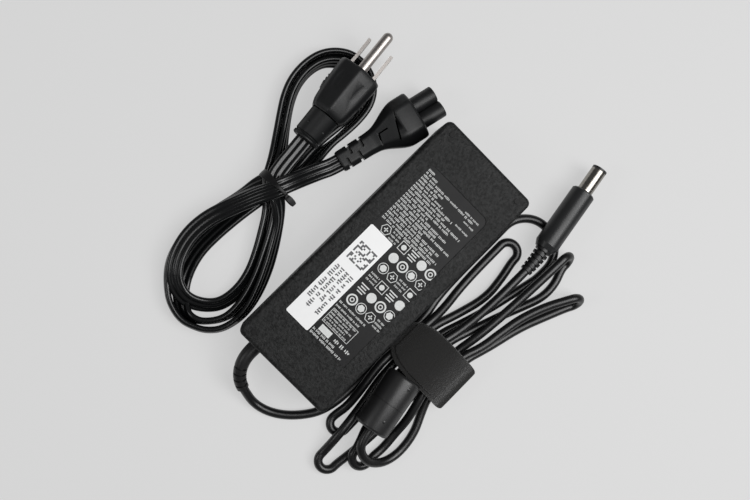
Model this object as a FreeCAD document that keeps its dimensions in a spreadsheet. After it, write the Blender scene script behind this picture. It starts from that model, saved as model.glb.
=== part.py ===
import FreeCAD, Part
import math
import os
import re
import Sketcher
from FreeCAD import Placement, Rotation, Vector

# Laptop power adapter: a welded charger casing lying label side up, its low-voltage cord folded
# into a strapped hank with a round plug, and the mains lead beside it, tied at the waist.
# Millimetres. Origin under the middle of the casing, +X towards the mains inlet, +Z up.

doc = FreeCAD.newDocument("PowerAdapter")
sheet = doc.addObject("Spreadsheet::Sheet", "Sizes")
nodes = []

value = {
    # Casing
    "case_length": 132,  # casing along X
    "case_width": 52.6,  # casing along Y
    "case_height": 30,  # casing along Z
    "corner_round": 3,  # radius of the upright corners
    "rim_round": 1.8,  # radius round the top and bottom faces
    "wall": 2.2,  # casing wall
    "part_line": 15,  # height of the welded seam
    "lip_thick": 1,  # tongue of the lower shell
    "lip_height": 1.5,  # tongue above the seam
    "fit_gap": 0.15,  # clearance between moulded pieces
    "foot_radius": 1.2,  # moulded stud on the label face
    "foot_height": 0.4,  # stud above the label face
    "foot_inset_along": 4.6,  # stud from the casing's end
    "foot_inset_across": 5.7,  # stud from the casing's side
    "post_radius": 2,  # board post
    "post_inset_along": 11,  # board post from the casing's end
    "post_inset_across": 7.3,  # board post from the casing's side
    # Label
    "recess_depth": 0.4,  # label recess
    "label_margin_left": 20.7,  # label recess to the end with the low-voltage cord
    "label_margin_right": 20,  # label recess to the inlet end
    "label_margin_side": 8,  # label recess to the casing's side
    "label_thick": 0.15,  # printed film
    "label_gap": 0.3,  # film edge to recess edge
    "label_corner": 3,  # film corner
    "sticker_gap": 0.4,  # sticker to the edge of the label recess
    "sticker_long": 53.2,  # sticker along X
    "sticker_wide": 13.2,  # sticker along Y
    "sticker_thick": 0.1,  # paper sticker
    "sticker_corner": 0.8,  # sticker corner
    # Mains inlet
    "inlet_wide": 25,  # inlet moulding across
    "inlet_high": 18,  # inlet moulding up
    "inlet_deep": 16,  # inlet moulding along X
    "socket_deep": 10.6,  # socket hollow
    "lobe_radius": 4,  # connector lobe
    "lobe_across": 3.85,  # upper lobes from the middle
    "lobe_up": 1.75,  # upper lobes above the middle
    "lobe_down": 3.4,  # lower lobe below the middle
    "lobe_gap": 0.3,  # socket lobe beyond connector lobe
    "contact_radius": 1.15,  # inlet pin
    "contact_long": 8,  # inlet pin in the socket
    # Circuit board
    "board_thick": 1.6,  # board
    "board_base": 4.2,  # underside of the board
    "board_gap_left": 1.8,  # board to the end wall with the low-voltage cord
    "board_gap_right": 5.8,  # board to the inlet's end wall
    "board_gap_side": 1.6,  # board to the side walls
    "head_room": 2,  # tallest piece on the board to the upper shell
    "film_thick": 0.4,  # insulating film
    # Pieces on the board
    "fuse_radius": 2.6,
    "fuse_long": 10,
    "varistor_radius": 5,
    "varistor_thick": 3.6,
    "x_cap_long": 8.5,
    "x_cap_wide": 18,
    "x_cap_high": 14,
    "choke_radius": 8.2,
    "choke_eye": 4.6,
    "choke_wide": 7,
    "choke_wire": 1.5,  # winding round the choke's core
    "choke_up": 9.1,  # middle of the mains choke above the board
    "winding_share": 130,  # degrees of the core under each winding
    "bridge_thick": 3.6,
    "bridge_wide": 15,
    "bridge_high": 14,
    "boost_radius": 8.4,
    "boost_waist": 7.2,
    "boost_flange": 1.6,
    "boost_high": 15.2,
    "bulk_radius": 8.4,
    "bulk_long": 29,
    "cool_long": 24,
    "cool_thick": 1.6,
    "cool_lip": 4.4,
    "switch_wide": 10,
    "switch_thick": 3.4,
    "switch_gap": 0.3,  # top of a transistor to the heatsink's lip
    "switch_pitch": 12,
    "lead_out": 1.5,  # body of a transistor above the board
    "yoke_thick": 12,
    "yoke_wide": 30,
    "yoke_web": 3,  # core above and below its windows
    "yoke_leg": 8,
    "yoke_window": 7,
    "coil_long": 22,
    "coil_gap": 0.3,
    "coil_corner": 3,
    "y_cap_radius": 4,
    "y_cap_thick": 3,
    "opto_long": 6.5,
    "opto_wide": 4.6,
    "opto_high": 3.4,
    "fin_thick": 1.6,
    "fin_wide": 24,
    "fin_high": 18,
    "rectifier_thick": 4.4,
    "rectifier_wide": 10,
    "rectifier_high": 15,
    "out_cap_radius": 4.1,
    "out_cap_high": 18,
    "out_cap_pitch": 9,
    "out_choke_radius": 6,
    "out_choke_eye": 2.6,
    "out_choke_high": 6.5,
    "chip_long": 5,
    "chip_wide": 4,
    "chip_high": 1.6,
    # Low-voltage cord
    "cord_dia": 4.2,  # low-voltage cord
    "relief_exit_y": 15,  # strain relief across the casing end
    "relief_straight": 3.3,  # straight start of the relief
    "relief_bend": 14.9,  # bend radius of the relief
    "relief_turn": 75,  # bend of the relief in degrees
    "relief_dip": 32.8,  # tilt of the bend below level in degrees
    "relief_root": 3.45,  # relief radius at the casing
    "relief_tip": 2.85,  # relief radius at the cord
    "relief_flange": 4.8,  # flange inside the wall
    # Ferrite
    "ferrite_x": -56.4,  # ferrite end, away from the strap
    "ferrite_y": -48.12,  # the same end across
    "ferrite_z": 15,  # ferrite axis height
    "ferrite_turn": 10.2,  # ferrite axis from +X in degrees
    "ferrite_long": 28.5,  # ferrite cover
    "ferrite_radius": 8.6,  # ferrite cover
    "ferrite_rim": 1.2,  # rounded ends of the cover
    "core_long": 24,  # ferrite core
    "core_radius": 7.1,  # ferrite core
    "core_bore": 3,  # ferrite core bore
    # Strap
    "strap_left": -27,  # strap edge
    "strap_wide": 22.5,  # strap along X
    "strap_near": -27.5,  # outside of the strap beside the casing
    "strap_far": -63.4,  # outside of the strap away from the casing
    "strap_base": 0.1,  # underside of the strap
    "strap_top": 19,  # top of the strap
    "strap_arch": 28,  # radius of the strap's arched top
    "strap_thick": 1.4,  # strap
    "strap_corner": 4.1,  # outside corner of the strap
    "tab_out": 3.6,  # closed end of the strap beyond the loop
    "tab_thick": 2.8,  # closed end, two layers
    "tab_height": 9,  # height of the closed end
    # Plug
    "plug_x": 59.1,  # rear of the plug body
    "plug_y": -48.1,  # the same across
    "plug_z": 10.4,  # plug axis height
    "plug_turn": 9.3,  # plug axis from +X in degrees
    "plug_long": 33,  # plug body
    "plug_radius": 5.8,  # plug body
    "plug_neck": 4.6,  # plug body at the relief
    "plug_relief_long": 13.3,  # relief of the plug
    "plug_relief_bend": 80.6,  # bend radius of the plug relief
    "plug_relief_tip": 2.9,  # relief radius at the cord
    "plug_relief_root": 3.9,  # relief radius at the body
    "barrel_long": 13.4,  # barrel with its tip ring
    "barrel_radius": 3.7,  # outside of the barrel
    "barrel_bore": 2.5,  # bore of the barrel
    "barrel_floor": 2,  # bore stops short of the body by this
    "tip_ring": 1.2,  # insulating ring at the tip
    "pin_radius": 0.3,  # centre pin
    "pin_short": 1.6,  # centre pin behind the tip
    # Mains lead
    "lead_dia": 4.6,  # mains lead
    "conn_x": 19.5,  # rear of the appliance connector
    "conn_y": 47.3,  # the same across
    "conn_z": 8.8,  # connector axis height
    "conn_turn": -12.5,  # connector axis from +X in degrees
    "conn_relief": 19,  # comb-shaped relief
    "conn_front": 41.8,  # front of the body from the rear
    "conn_wide": 23,  # body across
    "conn_high": 17,  # body up
    "conn_neck_wide": 8.6,  # relief across
    "conn_neck_high": 7.6,  # relief up
    "slot_wide": 1.9,  # slot of the relief
    "slot_deep": 4.6,  # slot of the relief, from its side
    "slot_pitch": 3.1,  # from slot to slot
    "slot_start": 2.3,  # first slot from the rear
    "insert_long": 11.8,  # three-lobed insert
    "hole_radius": 1.6,  # contact hole
    "sleeve_bore": 1.25,  # spring contact
    "sleeve_back": 1.5,  # spring contact behind the front
    "hole_deep": 9,  # contact hole
    "mains_x": 53.75,  # front of the mains plug
    "mains_y": 69.35,  # the same across
    "mains_z": 16.7,  # middle of the mains plug body
    "mains_turn": 6.5,  # mains plug axis from +X in degrees
    "mains_long": 25.5,  # mains plug body
    "mains_wide": 21,  # mains plug body across
    "mains_high": 23,  # mains plug body up
    "collar_long": 13.7,  # collar behind the body
    "collar_wide": 13.4,  # collar across
    "collar_aside": 0.6,  # rear of the collar off the axis
    "collar_droop": 3,  # rear of the collar below the axis
    "blade_z": 10.2,  # height of the blades
    "blade_gap": 12.7,  # between the blades
    "blade_long": 15.9,  # blade beyond the face
    "blade_thick": 1.5,  # blade
    "blade_high": 6.35,  # blade
    "earth_rise": 11.9,  # earth pin above the blades
    "earth_radius": 2.375,  # earth pin
    "earth_long": 21.4,  # earth pin beyond the face
    "tie_x": -9,  # tie, middle of its width
    "tie_y": 58.5,  # tie, middle
    "tie_wide": 3,  # tie along X
    "tie_across": 19.8,  # tie outside
    "tie_high": 22,  # tie outside
    "tie_base": 0.1,  # underside of the tie
    "tie_thick": 0.8,  # tie band
    "tie_corner": 5,  # tie outside corner
}

# Sizes that follow from the others
follows = {
    "foot_along": "=case_length / 2 - foot_inset_along",
    "foot_across": "=case_width / 2 - foot_inset_across",
    "post_along": "=case_length / 2 - post_inset_along",
    "post_across": "=case_width / 2 - post_inset_across",
    "label_left": "=label_margin_left - case_length / 2",
    "label_right": "=case_length / 2 - label_margin_right",
    "label_half": "=case_width / 2 - label_margin_side",
    "sticker_left": "=label_left + sticker_gap",
    "sticker_high": "=label_half - sticker_gap",
    "board_long": "=case_length - 2 * wall - board_gap_left - board_gap_right",
    "board_wide": "=case_width - 2 * wall - 2 * board_gap_side",
    "board_mid": "=(board_gap_left - board_gap_right) / 2",
    "board_top": "=board_base + board_thick",
    "tall": "=case_height - wall - board_top - head_room",
    "switch_high": "=tall - 2 * cool_thick - lead_out - switch_gap",
}

for row, (name, number) in enumerate(list(value.items()) + list(follows.items()), 1):
    sheet.set("A%d" % row, name)
    sheet.set("B%d" % row, str(number))
    sheet.setAlias("B%d" % row, name)
doc.recompute()
value.update((name, float(sheet.get(name))) for name in follows)


def rule(text):
    """Turns a rule in plain size names into one that reads the sheet."""
    return re.sub(r"[a-z]\w*", lambda m: "Sizes." + m.group(0) if m.group(0) in value else m.group(0), str(text))


def put(item, x=0, y=0, z=0, turn=None, axis=Vector(0, 0, 1)):
    """Places an item, each coordinate by a rule from the sheet."""
    item.Placement = Placement(Vector(0, 0, 0), Rotation(axis, 1 if turn is not None else 0))
    for way, text in (("x", x), ("y", y), ("z", z)):
        item.setExpression("Placement.Base." + way, rule(text))
    if turn is not None:
        item.setExpression("Placement.Rotation.Angle", rule(turn))
    return item


def solid(kind, name, sizes, **place):
    item = doc.addObject("Part::" + kind, name)
    for prop, text in sizes.items():
        item.setExpression(prop, rule(text))
    return put(item, **place)


def box(name, long, wide, high, x=0, y=0, z=0):
    """A box centred on x and y that stands on z."""
    sizes = {"Length": long, "Width": wide, "Height": high}
    return solid("Box", name, sizes, x="%s - (%s) / 2" % (x, long), y="%s - (%s) / 2" % (y, wide), z=z)


def rod(name, radius, long, x=0, y=0, z=0, along="z"):
    """A cylinder that starts at the point given and runs along one axis."""
    turned = {"z": {}, "x": {"turn": 90, "axis": Vector(0, 1, 0)}, "y": {"turn": -90, "axis": Vector(1, 0, 0)}}
    return solid("Cylinder", name, {"Radius": radius, "Height": long}, x=x, y=y, z=z, **turned[along])


def cut(name, base, *tools):
    item = doc.addObject("Part::Cut", name)
    item.Base = base
    item.Tool = tools[0] if len(tools) == 1 else join(name + "_tools", *tools)
    return item


def join(name, *pieces):
    item = doc.addObject("Part::MultiFuse", name)
    item.Shapes = list(pieces)
    return item


def group(name, *pieces):
    item = doc.addObject("Part::Compound", name)
    item.Links = list(pieces)
    return item


def body(name):
    return doc.addObject("PartDesign::Body", name)


def plane_of(owner, role):
    return next(f for f in owner.Origin.OriginFeatures if f.Role == role)


def sketch_on(owner, role, name):
    sketch = owner.newObject("Sketcher::SketchObject", name)
    sketch.AttachmentSupport = [(plane_of(owner, role), "")]
    sketch.MapMode = "FlatFace"
    return sketch


def prism(name, long, wide, high, corner, rim=None, both=False):
    """A padded rounded rectangle, centred, standing on z = 0, with its rim rounded if asked."""
    owner = body(name)
    sketch = sketch_on(owner, "XY_Plane", name + "_outline")
    corners = [Vector(-1, -1, 0), Vector(1, -1, 0), Vector(1, 1, 0), Vector(-1, 1, 0)]
    for k in range(4):
        sketch.addGeometry(Part.LineSegment(corners[k], corners[(k + 1) % 4]))
    for k in range(4):
        sketch.addConstraint(Sketcher.Constraint("Coincident", k, 2, (k + 1) % 4, 1))
    for k, kind in enumerate(("Horizontal", "Vertical", "Horizontal", "Vertical")):
        sketch.addConstraint(Sketcher.Constraint(kind, k))
    sketch.addConstraint(Sketcher.Constraint("Symmetric", 0, 1, 2, 1, -1, 1))
    across = sketch.addConstraint(Sketcher.Constraint("DistanceX", 0, 1, 0, 2, 2))
    up = sketch.addConstraint(Sketcher.Constraint("DistanceY", 1, 1, 1, 2, 2))
    sketch.setExpression("Constraints[%d]" % across, rule(long))
    sketch.setExpression("Constraints[%d]" % up, rule(wide))
    pad = owner.newObject("PartDesign::Pad", name + "_pad")
    pad.Profile = sketch
    pad.setExpression("Length", rule(high))
    doc.recompute()
    if corner:
        upright = [e for e in range(len(pad.Shape.Edges)) if stands(pad.Shape.Edges[e])]
        pad = round_edges(owner, pad, name + "_corners", upright, corner)
    if rim:
        top = pad.Shape.BoundBox.ZMax
        levels = (0, top) if both else (top,)
        flat = [e for e in range(len(pad.Shape.Edges)) if lies_at(pad.Shape.Edges[e], levels)]
        round_edges(owner, pad, name + "_rim", flat, rim)
    return owner


def stands(edge):
    first, last = edge.Vertexes[0].Point, edge.Vertexes[-1].Point
    return abs(first.x - last.x) + abs(first.y - last.y) < 1e-6


def lies_at(edge, levels):
    box = edge.BoundBox
    return any(abs(box.ZMin - z) + abs(box.ZMax - z) < 1e-5 for z in levels)


def round_edges(owner, base, name, edges, radius):
    fillet = owner.newObject("PartDesign::Fillet", name)
    fillet.Base = (base, ["Edge%d" % (e + 1) for e in edges])
    fillet.setExpression("Radius", rule(radius))
    doc.recompute()
    return fillet


def plain(name, shape):
    """A piece with no parametric feature of its own, made from sheet values."""
    item = doc.addObject("Part::Feature", name)
    item.Shape = shape
    return item


def node(item, name):
    item.Label = name
    nodes.append((name, item))
    return item


def ring(name, outer, bore, long, **where):
    """A tube along one axis."""
    return cut(name, rod(name + "_outside", outer, long, **where), rod(name + "_bore", bore, long, **where))


# Casing
def recess_form(name, gap, high, z):
    """Label outline: rounded at the inlet end, square at the other."""
    long = "(label_right - label_left - 2 * (%s))" % gap
    wide = "(2 * (label_half - (%s)))" % gap
    middle = "(label_left + label_right) / 2"
    rounded = put(prism(name + "_rounded", long, wide, high, "label_corner"), x=middle, z=z)
    square = box(name + "_square", "2 * label_corner", wide, high, x="label_left + (%s) + label_corner" % gap, z=z)
    return join(name, rounded, square)


def wall_openings(name):
    inlet = box(name + "_inlet", "2 * inlet_deep", "inlet_wide + 2 * fit_gap", "inlet_high + 2 * fit_gap",
                x="case_length / 2", z="part_line - inlet_high / 2 - fit_gap")
    cord = rod(name + "_cord", "relief_root + fit_gap", "3 * wall", x="-case_length / 2 - wall",
               y="relief_exit_y", z="part_line", along="x")
    return join(name, inlet, cord)


def casing():
    inside = ("case_length - 2 * wall", "case_width - 2 * wall")
    tongue = ("case_length - 2 * (wall - lip_thick)", "case_width - 2 * (wall - lip_thick)")
    top = put(prism("top_outside", "case_length", "case_width", "case_height - part_line", "corner_round",
                    "rim_round"), z="part_line")
    top_space = put(prism("top_space", *inside, "case_height - part_line - wall", "corner_round - wall"),
                    z="part_line")
    rebate = put(prism("rebate", tongue[0] + " + 2 * fit_gap", tongue[1] + " + 2 * fit_gap",
                       "lip_height + fit_gap", "corner_round - wall + lip_thick"), z="part_line")
    studs = [rod("stud_%d" % k, "foot_radius", "foot_height + wall / 2", x="%d * foot_along" % (1 - 2 * (k % 2)),
                 y="%d * foot_across" % (1 - 2 * (k // 2)), z="case_height - wall / 2") for k in range(4)]
    studded = join("top_with_studs", top, *studs)
    label_bed = recess_form("label_bed", "0", "wall", "case_height - recess_depth")
    node(cut("upper", studded, top_space, rebate, label_bed, wall_openings("top_openings")), "upper_shell")

    bottom = put(prism("bottom_outside", "case_length", "case_width", "part_line", "corner_round", "rim_round"),
                 z="part_line", turn=180, axis=Vector(1, 0, 0))
    lip = put(prism("tongue", *tongue, "lip_height", "corner_round - wall + lip_thick"), z="part_line")
    bottom_space = put(prism("bottom_space", *inside, "part_line + lip_height", "corner_round - wall"), z="wall")
    hollow = cut("bottom_hollow", join("bottom_with_tongue", bottom, lip), bottom_space,
                 wall_openings("bottom_openings"))
    posts = [rod("post_%d" % k, "post_radius", "board_base - wall / 2", x="%d * post_along" % (1 - 2 * (k % 2)),
                 y="%d * post_across" % (1 - 2 * (k // 2)), z="wall / 2") for k in range(4)]
    node(join("lower", hollow, *posts), "lower_shell")


def labels():
    film = recess_form("film", "label_gap", "label_thick", "case_height - recess_depth")
    node(film, "rating_label")
    paper = prism("paper", "sticker_long", "sticker_wide", "sticker_thick", "sticker_corner")
    node(put(paper, x="sticker_left + sticker_long / 2", y="sticker_high - sticker_wide / 2",
             z="case_height - recess_depth + label_thick"), "white_sticker")


def lobes(name, radius, long, x="0", y="0", z="0"):
    """The three-lobed outline of the connector, as three rods along X."""
    return [rod(name + "_left", radius, long, x=x, y=y + " + lobe_across", z=z + " + lobe_up", along="x"),
            rod(name + "_right", radius, long, x=x, y=y + " - lobe_across", z=z + " + lobe_up", along="x"),
            rod(name + "_low", radius, long, x=x, y=y, z=z + " - lobe_down", along="x")]


def mains_inlet():
    face = "case_length / 2"
    floor = face + " - socket_deep"
    block = box("inlet_block", "inlet_deep", "inlet_wide", "inlet_high", x=face + " - inlet_deep / 2",
                z="part_line - inlet_high / 2")
    node(cut("inlet", block, *lobes("hollow", "lobe_radius + lobe_gap", "2 * socket_deep", x=floor,
                                    z="part_line")), "inlet_housing")
    node(group("pins", *lobes("pin", "contact_radius", "contact_long", x=floor, z="part_line")), "inlet_pins")


# What is inside
def board():
    plate = box("plate", "board_long", "board_wide", "board_thick", x="board_mid", z="board_base")
    node(plate, "circuit_board")
    sheet_form = box("film_plate", "board_long - 2", "board_wide - 2", "film_thick", z="wall")
    holes = [rod("film_hole_%d" % k, "post_radius + fit_gap", "2 * wall", x="%d * post_along" % (1 - 2 * (k % 2)),
                 y="%d * post_across" % (1 - 2 * (k // 2)), z="wall / 2") for k in range(4)]
    node(cut("film_sheet", sheet_form, *holes), "insulation_sheet")


def on_board(along, across, aside="0", ahead="0", lift="0"):
    """A place on the board as shares of the casing's length and width, moved by sizes."""
    return {"x": "%s * case_length + %s" % (along, ahead), "y": "%s * case_width + %s" % (across, aside),
            "z": "board_top + " + lift}


def mains_side():
    node(rod("fuse", "fuse_radius", "fuse_long", along="x", **on_board(0.28, 0.342, lift="fuse_radius")), "fuse")
    node(rod("varistor", "varistor_radius", "varistor_thick", along="x",
             **on_board(0.227, -0.304, lift="varistor_radius")), "varistor")
    node(box("x_cap", "x_cap_long", "x_cap_wide", "x_cap_high", **on_board(0.311, -0.038)), "x_capacitor")
    middle = (0.155, 0.228)
    node(ring("choke_core", "choke_radius", "choke_eye", "choke_wide", along="x",
              **on_board(*middle, lift="choke_up")), "mains_choke_core")
    windings = []
    for k, start in enumerate((25, 205)):
        place = on_board(*middle, ahead="-choke_wire", lift="choke_up")
        sector = rod("winding_%d" % k, "choke_radius + choke_wire", "choke_wide + 2 * choke_wire", along="x")
        sector.setExpression("Angle", rule("winding_share"))
        spun = doc.addObject("Part::Compound", "winding_turned_%d" % k)
        spun.Links = [sector]
        put(spun, turn=start, axis=Vector(1, 0, 0), **place)
        core = ring("choke_space_%d" % k, "choke_radius", "choke_eye", "choke_wide", along="x",
                    **on_board(*middle, lift="choke_up"))
        eye = rod("choke_eye_%d" % k, "choke_eye - choke_wire", "2 * choke_wide + 2 * choke_wire", along="x",
                  **on_board(*middle, ahead="-choke_wide / 2 - choke_wire", lift="choke_up"))
        windings.append(cut("winding_cut_%d" % k, spun, core, eye))
    node(group("windings", *windings), "mains_choke_windings")
    node(box("bridge", "bridge_thick", "bridge_wide", "bridge_high", **on_board(0.182, -0.266)), "bridge_rectifier")
    spool = (0.068, 0.247)
    node(join("boost", rod("boost_low", "boost_radius", "boost_flange", **on_board(*spool)),
              rod("boost_mid", "boost_waist", "boost_high", **on_board(*spool)),
              rod("boost_top", "boost_radius", "boost_flange",
                  **on_board(*spool, lift="boost_high - boost_flange"))), "boost_inductor")
    node(rod("bulk", "bulk_radius", "bulk_long", along="x",
             **on_board(0.038, -0.247, ahead="-bulk_long / 2", lift="bulk_radius")), "bulk_capacitor")
    fin = (0.038, 0.038)
    lip = box("cool_top", "cool_long", "cool_lip", "cool_thick",
              **on_board(*fin, aside="(cool_thick - cool_lip) / 2", lift="tall - 2 * cool_thick"))
    node(join("cool_primary", box("cool_plate", "cool_long", "cool_thick", "tall - cool_thick", **on_board(*fin)),
              lip), "primary_heatsink")
    switches = [box("switch_%d" % k, "switch_wide", "switch_thick", "switch_high",
                    **on_board(*fin, aside="-(cool_thick + switch_thick) / 2", lift="lead_out",
                               ahead="(%d) * switch_pitch / 2" % k)) for k in (-1, 1)]
    node(group("switches", *switches), "switching_transistors")


def output_side():
    middle = (-0.182, 0)
    core = box("yoke", "yoke_thick", "yoke_wide", "tall", **on_board(*middle))
    windows = [box("window_%d" % k, "2 * yoke_thick", "yoke_window", "tall - 2 * yoke_web",
                   **on_board(*middle, aside="(%d) * (yoke_leg + yoke_window) / 2" % k, lift="yoke_web"))
               for k in (-1, 1)]
    node(cut("yoke_cut", core, *windows), "transformer_core")
    form = put(prism("coil_form", "coil_long", "yoke_leg + 2 * yoke_window - 2 * coil_gap",
                     "tall - 2 * yoke_web - 2 * coil_gap", "coil_corner"),
               **on_board(*middle, lift="yoke_web + coil_gap"))
    leg = box("leg", "yoke_thick + coil_gap", "yoke_leg + coil_gap", "tall", **on_board(*middle))
    node(cut("coil_cut", form, leg), "transformer_coil")
    node(rod("y_cap", "y_cap_radius", "y_cap_thick", along="y", **on_board(-0.182, 0.333, lift="y_cap_radius")),
         "y_capacitor")
    node(box("opto", "opto_long", "opto_wide", "opto_high", **on_board(-0.106, 0.352)), "optocoupler")
    fin = (-0.291, -0.152)
    node(box("fin", "fin_thick", "fin_wide", "fin_high", **on_board(*fin)), "secondary_heatsink")
    node(box("rectifier", "rectifier_thick", "rectifier_wide", "rectifier_high",
             **on_board(*fin, ahead="-(fin_thick + rectifier_thick) / 2", lift="lead_out")), "output_rectifier")
    cans = [rod("out_cap_%d" % k, "out_cap_radius", "out_cap_high",
                **on_board(-0.375, -0.152, aside="(%d) * out_cap_pitch" % (k - 1))) for k in range(3)]
    node(group("out_caps", *cans), "output_capacitors")
    node(ring("out_choke", "out_choke_radius", "out_choke_eye", "out_choke_high", **on_board(-0.341, 0.266)),
         "output_choke")
    node(box("chip", "chip_long", "chip_wide", "chip_high", **on_board(-0.045, 0.361)), "control_chip")


# Soft and bent forms
def unit(v):
    return v * (1 / v.Length)


def arc_or_line(start, heading, end):
    """The edge that leaves start along heading and ends at end."""
    chord = end - start
    side = chord - heading * chord.dot(heading)
    if side.Length < 1e-3 * chord.Length:
        return Part.LineSegment(start, end).toShape()
    reach = chord.Length ** 2 / (2 * side.Length)
    centre = start + unit(side) * reach
    middle = centre + unit(unit(start - centre) + unit(end - centre)) * reach
    return Part.Arc(start, middle, end).toShape()


def bend(p0, t0, p1, t1):
    """Two arcs that leave p0 along t0 and reach p1 along t1, and the smaller radius."""
    v, t = p1 - p0, t0 + t1
    spread = 2 * (1 - t0.dot(t1))
    if spread < 1e-9:
        reach = v.dot(v) / (2 * v.dot(t))
    else:
        reach = (math.sqrt(v.dot(t) ** 2 + spread * v.dot(v)) - v.dot(t)) / spread
    middle = (p0 + p1 + (t0 - t1) * reach) * 0.5
    way = unit(p1 - t1 * reach - p0 - t0 * reach)
    return [arc_or_line(p0, t0, middle), arc_or_line(middle, way, p1)]


def sweep(name, edges, radius, start, heading):
    wire = Part.Wire(edges)
    ring_edge = Part.makeCircle(radius, start, heading)
    tube = wire.makePipeShell([Part.Wire([ring_edge])], True, False)
    share = tube.Volume / (math.pi * radius ** 2 * wire.Length)
    tight = min([e.Curve.Radius for e in edges if hasattr(e.Curve, "Radius")] or [0])
    print("%s: length %.0f mm, volume share %.3f, tightest bend %.1f mm, valid %s"
          % (name, wire.Length, share, tight, tube.isValid()))
    return tube


def free_tube(name, points, diameter):
    """A cord's free stretch: straight runs joined by tangent arcs as large as the runs allow."""
    at = [Vector(*p) for p in points]
    edges, here = [], at[0]
    for k in range(1, len(at) - 1):
        back, ahead = unit(at[k - 1] - at[k]), unit(at[k + 1] - at[k])
        cut_back = 0.45 * min((at[k] - at[k - 1]).Length, (at[k + 1] - at[k]).Length)
        first, last = at[k] + back * cut_back, at[k] + ahead * cut_back
        edges.append(Part.LineSegment(here, first).toShape())
        edges.append(arc_or_line(first, back * -1, last))
        here = last
    edges.append(Part.LineSegment(here, at[-1]).toShape())
    return plain(name, sweep(name, edges, diameter / 2, at[0], unit(at[1] - at[0])))


def wound_tube(name, points, diameter):
    """A hank: one tube through the middles of the route's runs, tangent to each run."""
    at = [Vector(*p) for p in points]
    first, last = unit(at[1] - at[0]), unit(at[-1] - at[-2])
    knots = [(at[0], first), (at[0] + first * diameter, first)]
    knots += [((at[k] + at[k + 1]) * 0.5, unit(at[k + 1] - at[k])) for k in range(1, len(at) - 2)]
    knots += [(at[-1] - last * diameter, last), (at[-1], last)]
    edges = []
    for (p0, t0), (p1, t1) in zip(knots, knots[1:]):
        edges += bend(p0, t0, p1, t1)
    least_gap(name, edges, diameter)
    return plain(name, sweep(name, edges, diameter / 2, at[0], first))


def least_gap(name, edges, diameter):
    """Prints how near the tube comes to itself, measured on points of its centre line."""
    points, passed = [], 0
    for edge in edges:
        count = max(2, int(edge.Length / 1.5))
        points += [(passed + edge.Length * k / count, p) for k, p in enumerate(edge.discretize(count + 1)[:-1])]
        passed += edge.Length
    gap = 99
    for k, (s, p) in enumerate(points):
        for other, q in points[k + 1:]:
            if other - s > 3.2 * diameter and abs(p.x - q.x) < 8 and abs(p.y - q.y) < 8:
                gap = min(gap, (p - q).Length - diameter)
    print("%s: least gap to itself %.2f mm" % (name, gap))


def half_turn(start, heading, end, steps=4):
    """Route points round half a circle from start to end, leaving start along heading."""
    start, end, heading = Vector(*start), Vector(*end), Vector(*heading)
    middle = (start + end) * 0.5
    out = unit(start - middle)
    radius = (start - middle).Length
    ahead = unit(heading - out * out.dot(heading))
    step = math.pi / steps
    reach = radius / math.cos(step / 2)
    lead = ahead * (radius * math.tan(step / 2))
    turns = [middle + (out * math.cos(step * (k + 0.5)) + ahead * math.sin(step * (k + 0.5))) * reach
             for k in range(steps)]
    return [tuple(p) for p in [start - lead] + turns + [end - lead]]


def loop(cx, cy, radius, first, last, heights):
    """Route points round part of a level loop, one for each height."""
    step = math.radians(last - first) / len(heights)
    reach = radius / math.cos(step / 2)
    angles = [math.radians(first) + step * (k + 0.5) for k in range(len(heights))]
    return [(cx + reach * math.cos(a), cy + reach * math.sin(a), z) for a, z in zip(angles, heights)]


def bent_taper(start, heading, side, straight, bend_radius, turn, root, tip):
    """A tapered moulding, straight and then bent towards side; its frames are given back too."""
    total = straight + bend_radius * math.radians(turn)
    stations = []
    for s in [0, straight] + [straight + bend_radius * math.radians(turn) * k / 5 for k in range(1, 6)]:
        angle = max(0, s - straight) / bend_radius
        point = (start + heading * (min(s, straight) + bend_radius * math.sin(angle))
                 + side * (bend_radius * (1 - math.cos(angle))))
        way = heading * math.cos(angle) + side * math.sin(angle)
        stations.append((s / total, point, way))
    rings = [Part.Wire([Part.makeCircle(root + (tip - root) * share, point, way)])
             for share, point, way in stations]
    return Part.makeLoft(rings, True, False), stations[-1]


def groove(point, way, radius, floor, wide):
    """A ring of space to cut from a moulding."""
    outer = Part.makeCylinder(radius, wide, point - way * (wide / 2), way)
    return outer.cut(Part.makeCylinder(floor, wide, point - way * (wide / 2), way))


# Low-voltage cord, from the casing to the plug
def strain_relief():
    """Tapered moulding that bends down towards the table, with a flange inside the wall."""
    dip = math.radians(value["relief_dip"])
    start = Vector(-value["case_length"] / 2, value["relief_exit_y"], value["part_line"])
    heading, side = Vector(-1, 0, 0), Vector(0, -math.cos(dip), -math.sin(dip))
    horn, (_, tip, way) = bent_taper(start, heading, side, value["relief_straight"], value["relief_bend"],
                                     value["relief_turn"], value["relief_root"], value["relief_tip"])
    for k in range(4):
        angle = math.radians(value["relief_turn"] - 9 - 11 * k)
        turn_way = heading * math.cos(angle) + side * math.sin(angle)
        point = (start + heading * (value["relief_straight"] + value["relief_bend"] * math.sin(angle))
                 + side * (value["relief_bend"] * (1 - math.cos(angle))))
        horn = horn.cut(groove(point, turn_way, value["relief_flange"], value["relief_tip"] - 0.45, 0.9))
    neck = Part.makeCylinder(value["relief_root"], value["wall"] + value["fit_gap"], start, Vector(1, 0, 0))
    flange = Part.makeCylinder(value["relief_flange"], 1.6,
                               start + Vector(value["wall"] + value["fit_gap"], 0, 0), Vector(1, 0, 0))
    node(plain("relief", horn.fuse([neck, flange]).removeSplitter()), "dc_strain_relief")
    return tip, way


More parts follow.
